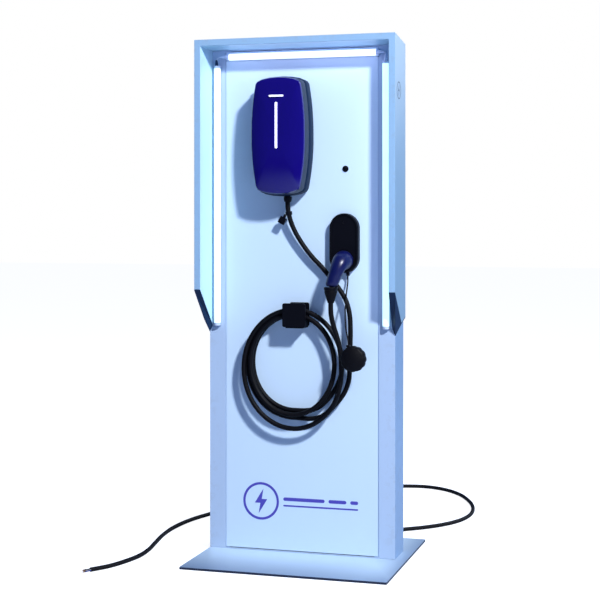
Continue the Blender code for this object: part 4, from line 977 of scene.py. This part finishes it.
# ----------------------------------------------------------------------- graphics
def film(name, outline, place, thick, finish, body="post"):
    """A flat film of the outline, (across, up) pairs, put down by place(across, up, lift)."""
    bm = bmesh.new()
    face = bm.faces.new([bm.verts.new((a, b, 0)) for a, b in outline])
    grown = bmesh.ops.extrude_face_region(bm, geom=[face])["geom"]
    bmesh.ops.translate(bm, verts=[g for g in grown if isinstance(g, bmesh.types.BMVert)], vec=(0, 0, thick))
    for v in bm.verts:
        v.co = place(v.co.x, v.co.y, v.co.z)
    return finished(name, bm, finish, 30, body, None)


def pill(width, height, centre, steps=8):
    """Outline of a bar with round ends."""
    r = min(width, height) / 2
    dx, dz = width / 2 - r, height / 2 - r
    points = []
    for i in range(4 * steps):
        a = 2 * math.pi * (i + 0.5) / (4 * steps)
        x, z = math.cos(a), math.sin(a)
        points.append((centre[0] + math.copysign(dx, x) + r * x, centre[1] + math.copysign(dz, z) + r * z))
    return points


def ring_band(name, radius, width, place, thick, finish):
    """A flat round band."""
    bm = bmesh.new()
    edge = [bm.verts.new((radius, 0, 0)), bm.verts.new((radius - width, 0, 0))]
    line = bm.edges.new(edge)
    bmesh.ops.spin(bm, geom=edge + [line], axis=(0, 0, 1), cent=(0, 0, 0),
                   steps=64, angle=math.tau, use_merge=True)
    bmesh.ops.remove_doubles(bm, verts=bm.verts, dist=1e-6)
    grown = bmesh.ops.extrude_face_region(bm, geom=list(bm.faces))["geom"]
    bmesh.ops.translate(bm, verts=[g for g in grown if isinstance(g, bmesh.types.BMVert)], vec=(0, 0, thick))
    for v in bm.verts:
        v.co = place(v.co.x, v.co.y, v.co.z)
    return finished(name, bm, finish, 30, "post", None)


BOLT = [(0.10, 0.50), (-0.26, -0.08), (-0.03, -0.08), (-0.10, -0.50), (0.26, 0.08), (0.03, 0.08)]


def graphics(finish):
    """A plain power symbol with bars beside it, a bar on the wallbox, a symbol on the hood."""
    lift = 0.0002

    def on_panel(a, b, t):
        return at(a, -TOUCH - t, b)

    mark = (-0.146, 0.182)
    ring_band("panel_symbol_ring", 0.066, 0.0085, lambda a, b, t: on_panel(a + mark[0], b + mark[1], t), lift,
              finish["graphic"])
    bolt = [(mark[0] + a * 0.088, mark[1] + b * 0.088) for a, b in BOLT]
    film("panel_symbol_bolt", bolt, on_panel, lift, finish["graphic"])
    x = -0.064
    for i, width in enumerate((0.150, 0.064, 0.028)):
        bar = pill(width, 0.012, (x + width / 2, 0.193))
        film(f"panel_bar_{i + 1}", bar, on_panel, lift, finish["graphic"])
        x += width + 0.014
    film("panel_bar_4", pill(0.270, 0.0055, (0.071, 0.170)), on_panel, lift, finish["graphic"])

    bar_lo, bar_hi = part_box("wallbox_light_bar")

    def on_cover(a, b, t):
        return Vector((a, bar_lo.y + 0.0016 - t, b))

    middle_x = (bar_lo.x + bar_hi.x) / 2
    short_bar = pill(0.052, 0.006, (middle_x, bar_hi.z + 0.022))
    # painted light: the cover's pale bar glows though it is print
    film("cover_bar", short_bar, on_cover, 0.0016, finish["white_film"])

    hood_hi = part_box("hood_frame")[1]

    def on_side(a, b, t):
        return Vector((hood_hi.x + TOUCH + t, FRONT_Y - 0.045 + a, 1.610 + b))

    ring_band("side_symbol_ring", 0.030, 0.0035, on_side, lift, finish["dark_film"])
    film("side_symbol_bolt", [(a * 0.040, b * 0.040) for a, b in BOLT], on_side, lift, finish["dark_film"])


# ------------------------------------------------------------- inside and fixings
def inside(finish):
    refine("mounting_tray", finish["zinc"], 0.0005)
    refine("din_rail", finish["zinc"], 0.0002, angle=50)
    refine("breaker_body", finish["grey"], 0.0006)
    refine("breaker_lever", finish["black"], 0.0004, angle=50)
    refine("lamp_driver", finish["grey"], 0.0003, angle=60)
    refine("supply_gland", finish["black"], 0.0005, angle=50)
    for i in range(4):
        refine(f"base_screw_{i + 1}", finish["zinc"], 0.0004, angle=50)


def door_screws(finish):
    """Pan-head screws through the hinge leaves."""
    for number in (1, 2):
        lo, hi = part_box(f"door_hinge_{number}")
        for i, share in enumerate((0.2, 0.5, 0.8)):
            place = Vector((lo.x + 0.014, BODY_HI.y + 0.0033, lo.z + (hi.z - lo.z) * share))
            screw_head(f"hinge_{number}_screw_{i + 1}", place, 0.0040, finish["zinc"], toward=1)


# --------------------------------------------------------------- lights and floor
def stage():
    bm = bmesh.new()
    bmesh.ops.create_grid(bm, x_segments=1, y_segments=1, size=30.0)
    made = bpy.data.materials.new("floor_pale")
    made.use_nodes = True
    shader = made.node_tree.nodes["Principled BSDF"]
    where = made.node_tree.nodes.new("ShaderNodeTexCoord").outputs["Object"]
    patches = noise_node(made.node_tree, where, 1.5)
    colour = mix_colour(made.node_tree, patches, (0.40, 0.47, 0.62), (0.43, 0.50, 0.65))
    made.node_tree.links.new(colour, shader.inputs["Base Color"])
    shader.inputs["Roughness"].default_value = 0.8
    shader.inputs["Specular IOR Level"].default_value = 0.1
    shader.inputs["Emission Color"].default_value = (1.0, 1.0, 1.0, 1.0)
    seen = made.node_tree.nodes.new("ShaderNodeLightPath").outputs["Is Camera Ray"]
    lift = math_node(made.node_tree, "MULTIPLY", seen, 0.95)
    made.node_tree.links.new(lift, shader.inputs["Emission Strength"])
    mesh = bpy.data.meshes.new("floor")
    bm.to_mesh(mesh)
    bm.free()
    mesh.materials.append(made)
    floor = bpy.data.objects.new("floor", mesh)
    bpy.context.scene.collection.objects.link(floor)
    floor.location.z = -0.0006


def area_light(name, place, target, size, power, colour):
    data = bpy.data.lights.new(name, "AREA")
    data.shape = "RECTANGLE"
    data.size, data.size_y = size
    data.energy = power
    data.color = colour
    light = bpy.data.objects.new(name, data)
    bpy.context.scene.collection.objects.link(light)
    light.location = place
    light.rotation_euler = (Vector(target) - Vector(place)).to_track_quat("-Z", "Y").to_euler()
    return light


def lights():
    area_light("key", (4.2, -4.5, 5.3), (0, 0, 1.0), (0.55, 0.55), 760, (0.93, 0.95, 1.0))
    fill = area_light("front_fill", (-1.5, -5.5, 2.4), (0, 0, 0.8), (3.5, 3.0), 5, (0.40, 0.60, 1.0))
    fill.visible_glossy = False
    over = at(0, -0.070, 1.745)
    glow = area_light("top_lamp_spill", over, at(0, 0, 1.690), (0.55, 0.02), 0.15, (0.66, 0.66, 1.0))
    glow.visible_camera = False
    glow.visible_glossy = False
    beside = at(0.285, -0.070, 1.27)
    glow = area_light("right_lamp_spill", beside, at(0.245, 0, 1.27), (0.90, 0.02), 0.16, (0.60, 0.62, 1.0))
    upright = Matrix.Rotation(math.radians(90), 3, "X") @ Matrix.Rotation(math.radians(90), 3, "Z")
    glow.rotation_euler = (Matrix.Rotation(math.radians(60), 3, "Z") @ upright).to_euler()
    glow.visible_camera = False
    glow.visible_glossy = False
    area_light("back_rim", (2.5, 3.2, 3.0), (0, 0, 1.0), (2.5, 2.5), 90, (0.85, 0.93, 1.0))
    world = bpy.data.worlds.new("studio")
    bpy.context.scene.world = world
    world.use_nodes = True
    tree = world.node_tree
    ground = tree.nodes["Background"]
    ground.inputs["Color"].default_value = (0.20, 0.40, 1.0, 1.0)
    ground.inputs["Strength"].default_value = 0.15
    seen = tree.nodes.new("ShaderNodeBackground")
    seen.inputs["Color"].default_value = (1.0, 1.0, 1.0, 1.0)
    seen.inputs["Strength"].default_value = 1.0
    mix = tree.nodes.new("ShaderNodeMixShader")
    path = tree.nodes.new("ShaderNodeLightPath")
    tree.links.new(path.outputs["Is Camera Ray"], mix.inputs[0])
    tree.links.new(ground.outputs[0], mix.inputs[1])
    tree.links.new(seen.outputs[0], mix.inputs[2])
    tree.links.new(mix.outputs[0], tree.nodes["World Output"].inputs[0])
    bpy.context.scene.view_settings.view_transform = "Standard"


# ------------------------------------------------------------------------- scene
make_camera()
FINISH = make_finishes()
cable, cable_points = charging_cable(FINISH["rubber"])
charging_cable_tail(FINISH["rubber"])
supply_cable(
    FINISH["rubber"],
    FINISH["copper"],
    [FINISH[n] for n in ("core_brown", "rubber", "core_grey", "core_blue", "core_green")],
)
cap, lug = dust_cap(FINISH)
lug.parent = cap
lanyard(FINISH["rubber"])
clip = refine("cable_clip", FINISH["black"], 0.0008, angle=40)
sheet_metal(FINISH)
lamps(FINISH)
lamp_leads(FINISH)
wallbox(FINISH)
board_parts(FINISH)
holster(FINISH)
connector(FINISH)
graphics(FINISH)
inside(FINISH)
door_screws(FINISH)
stage()
lights()
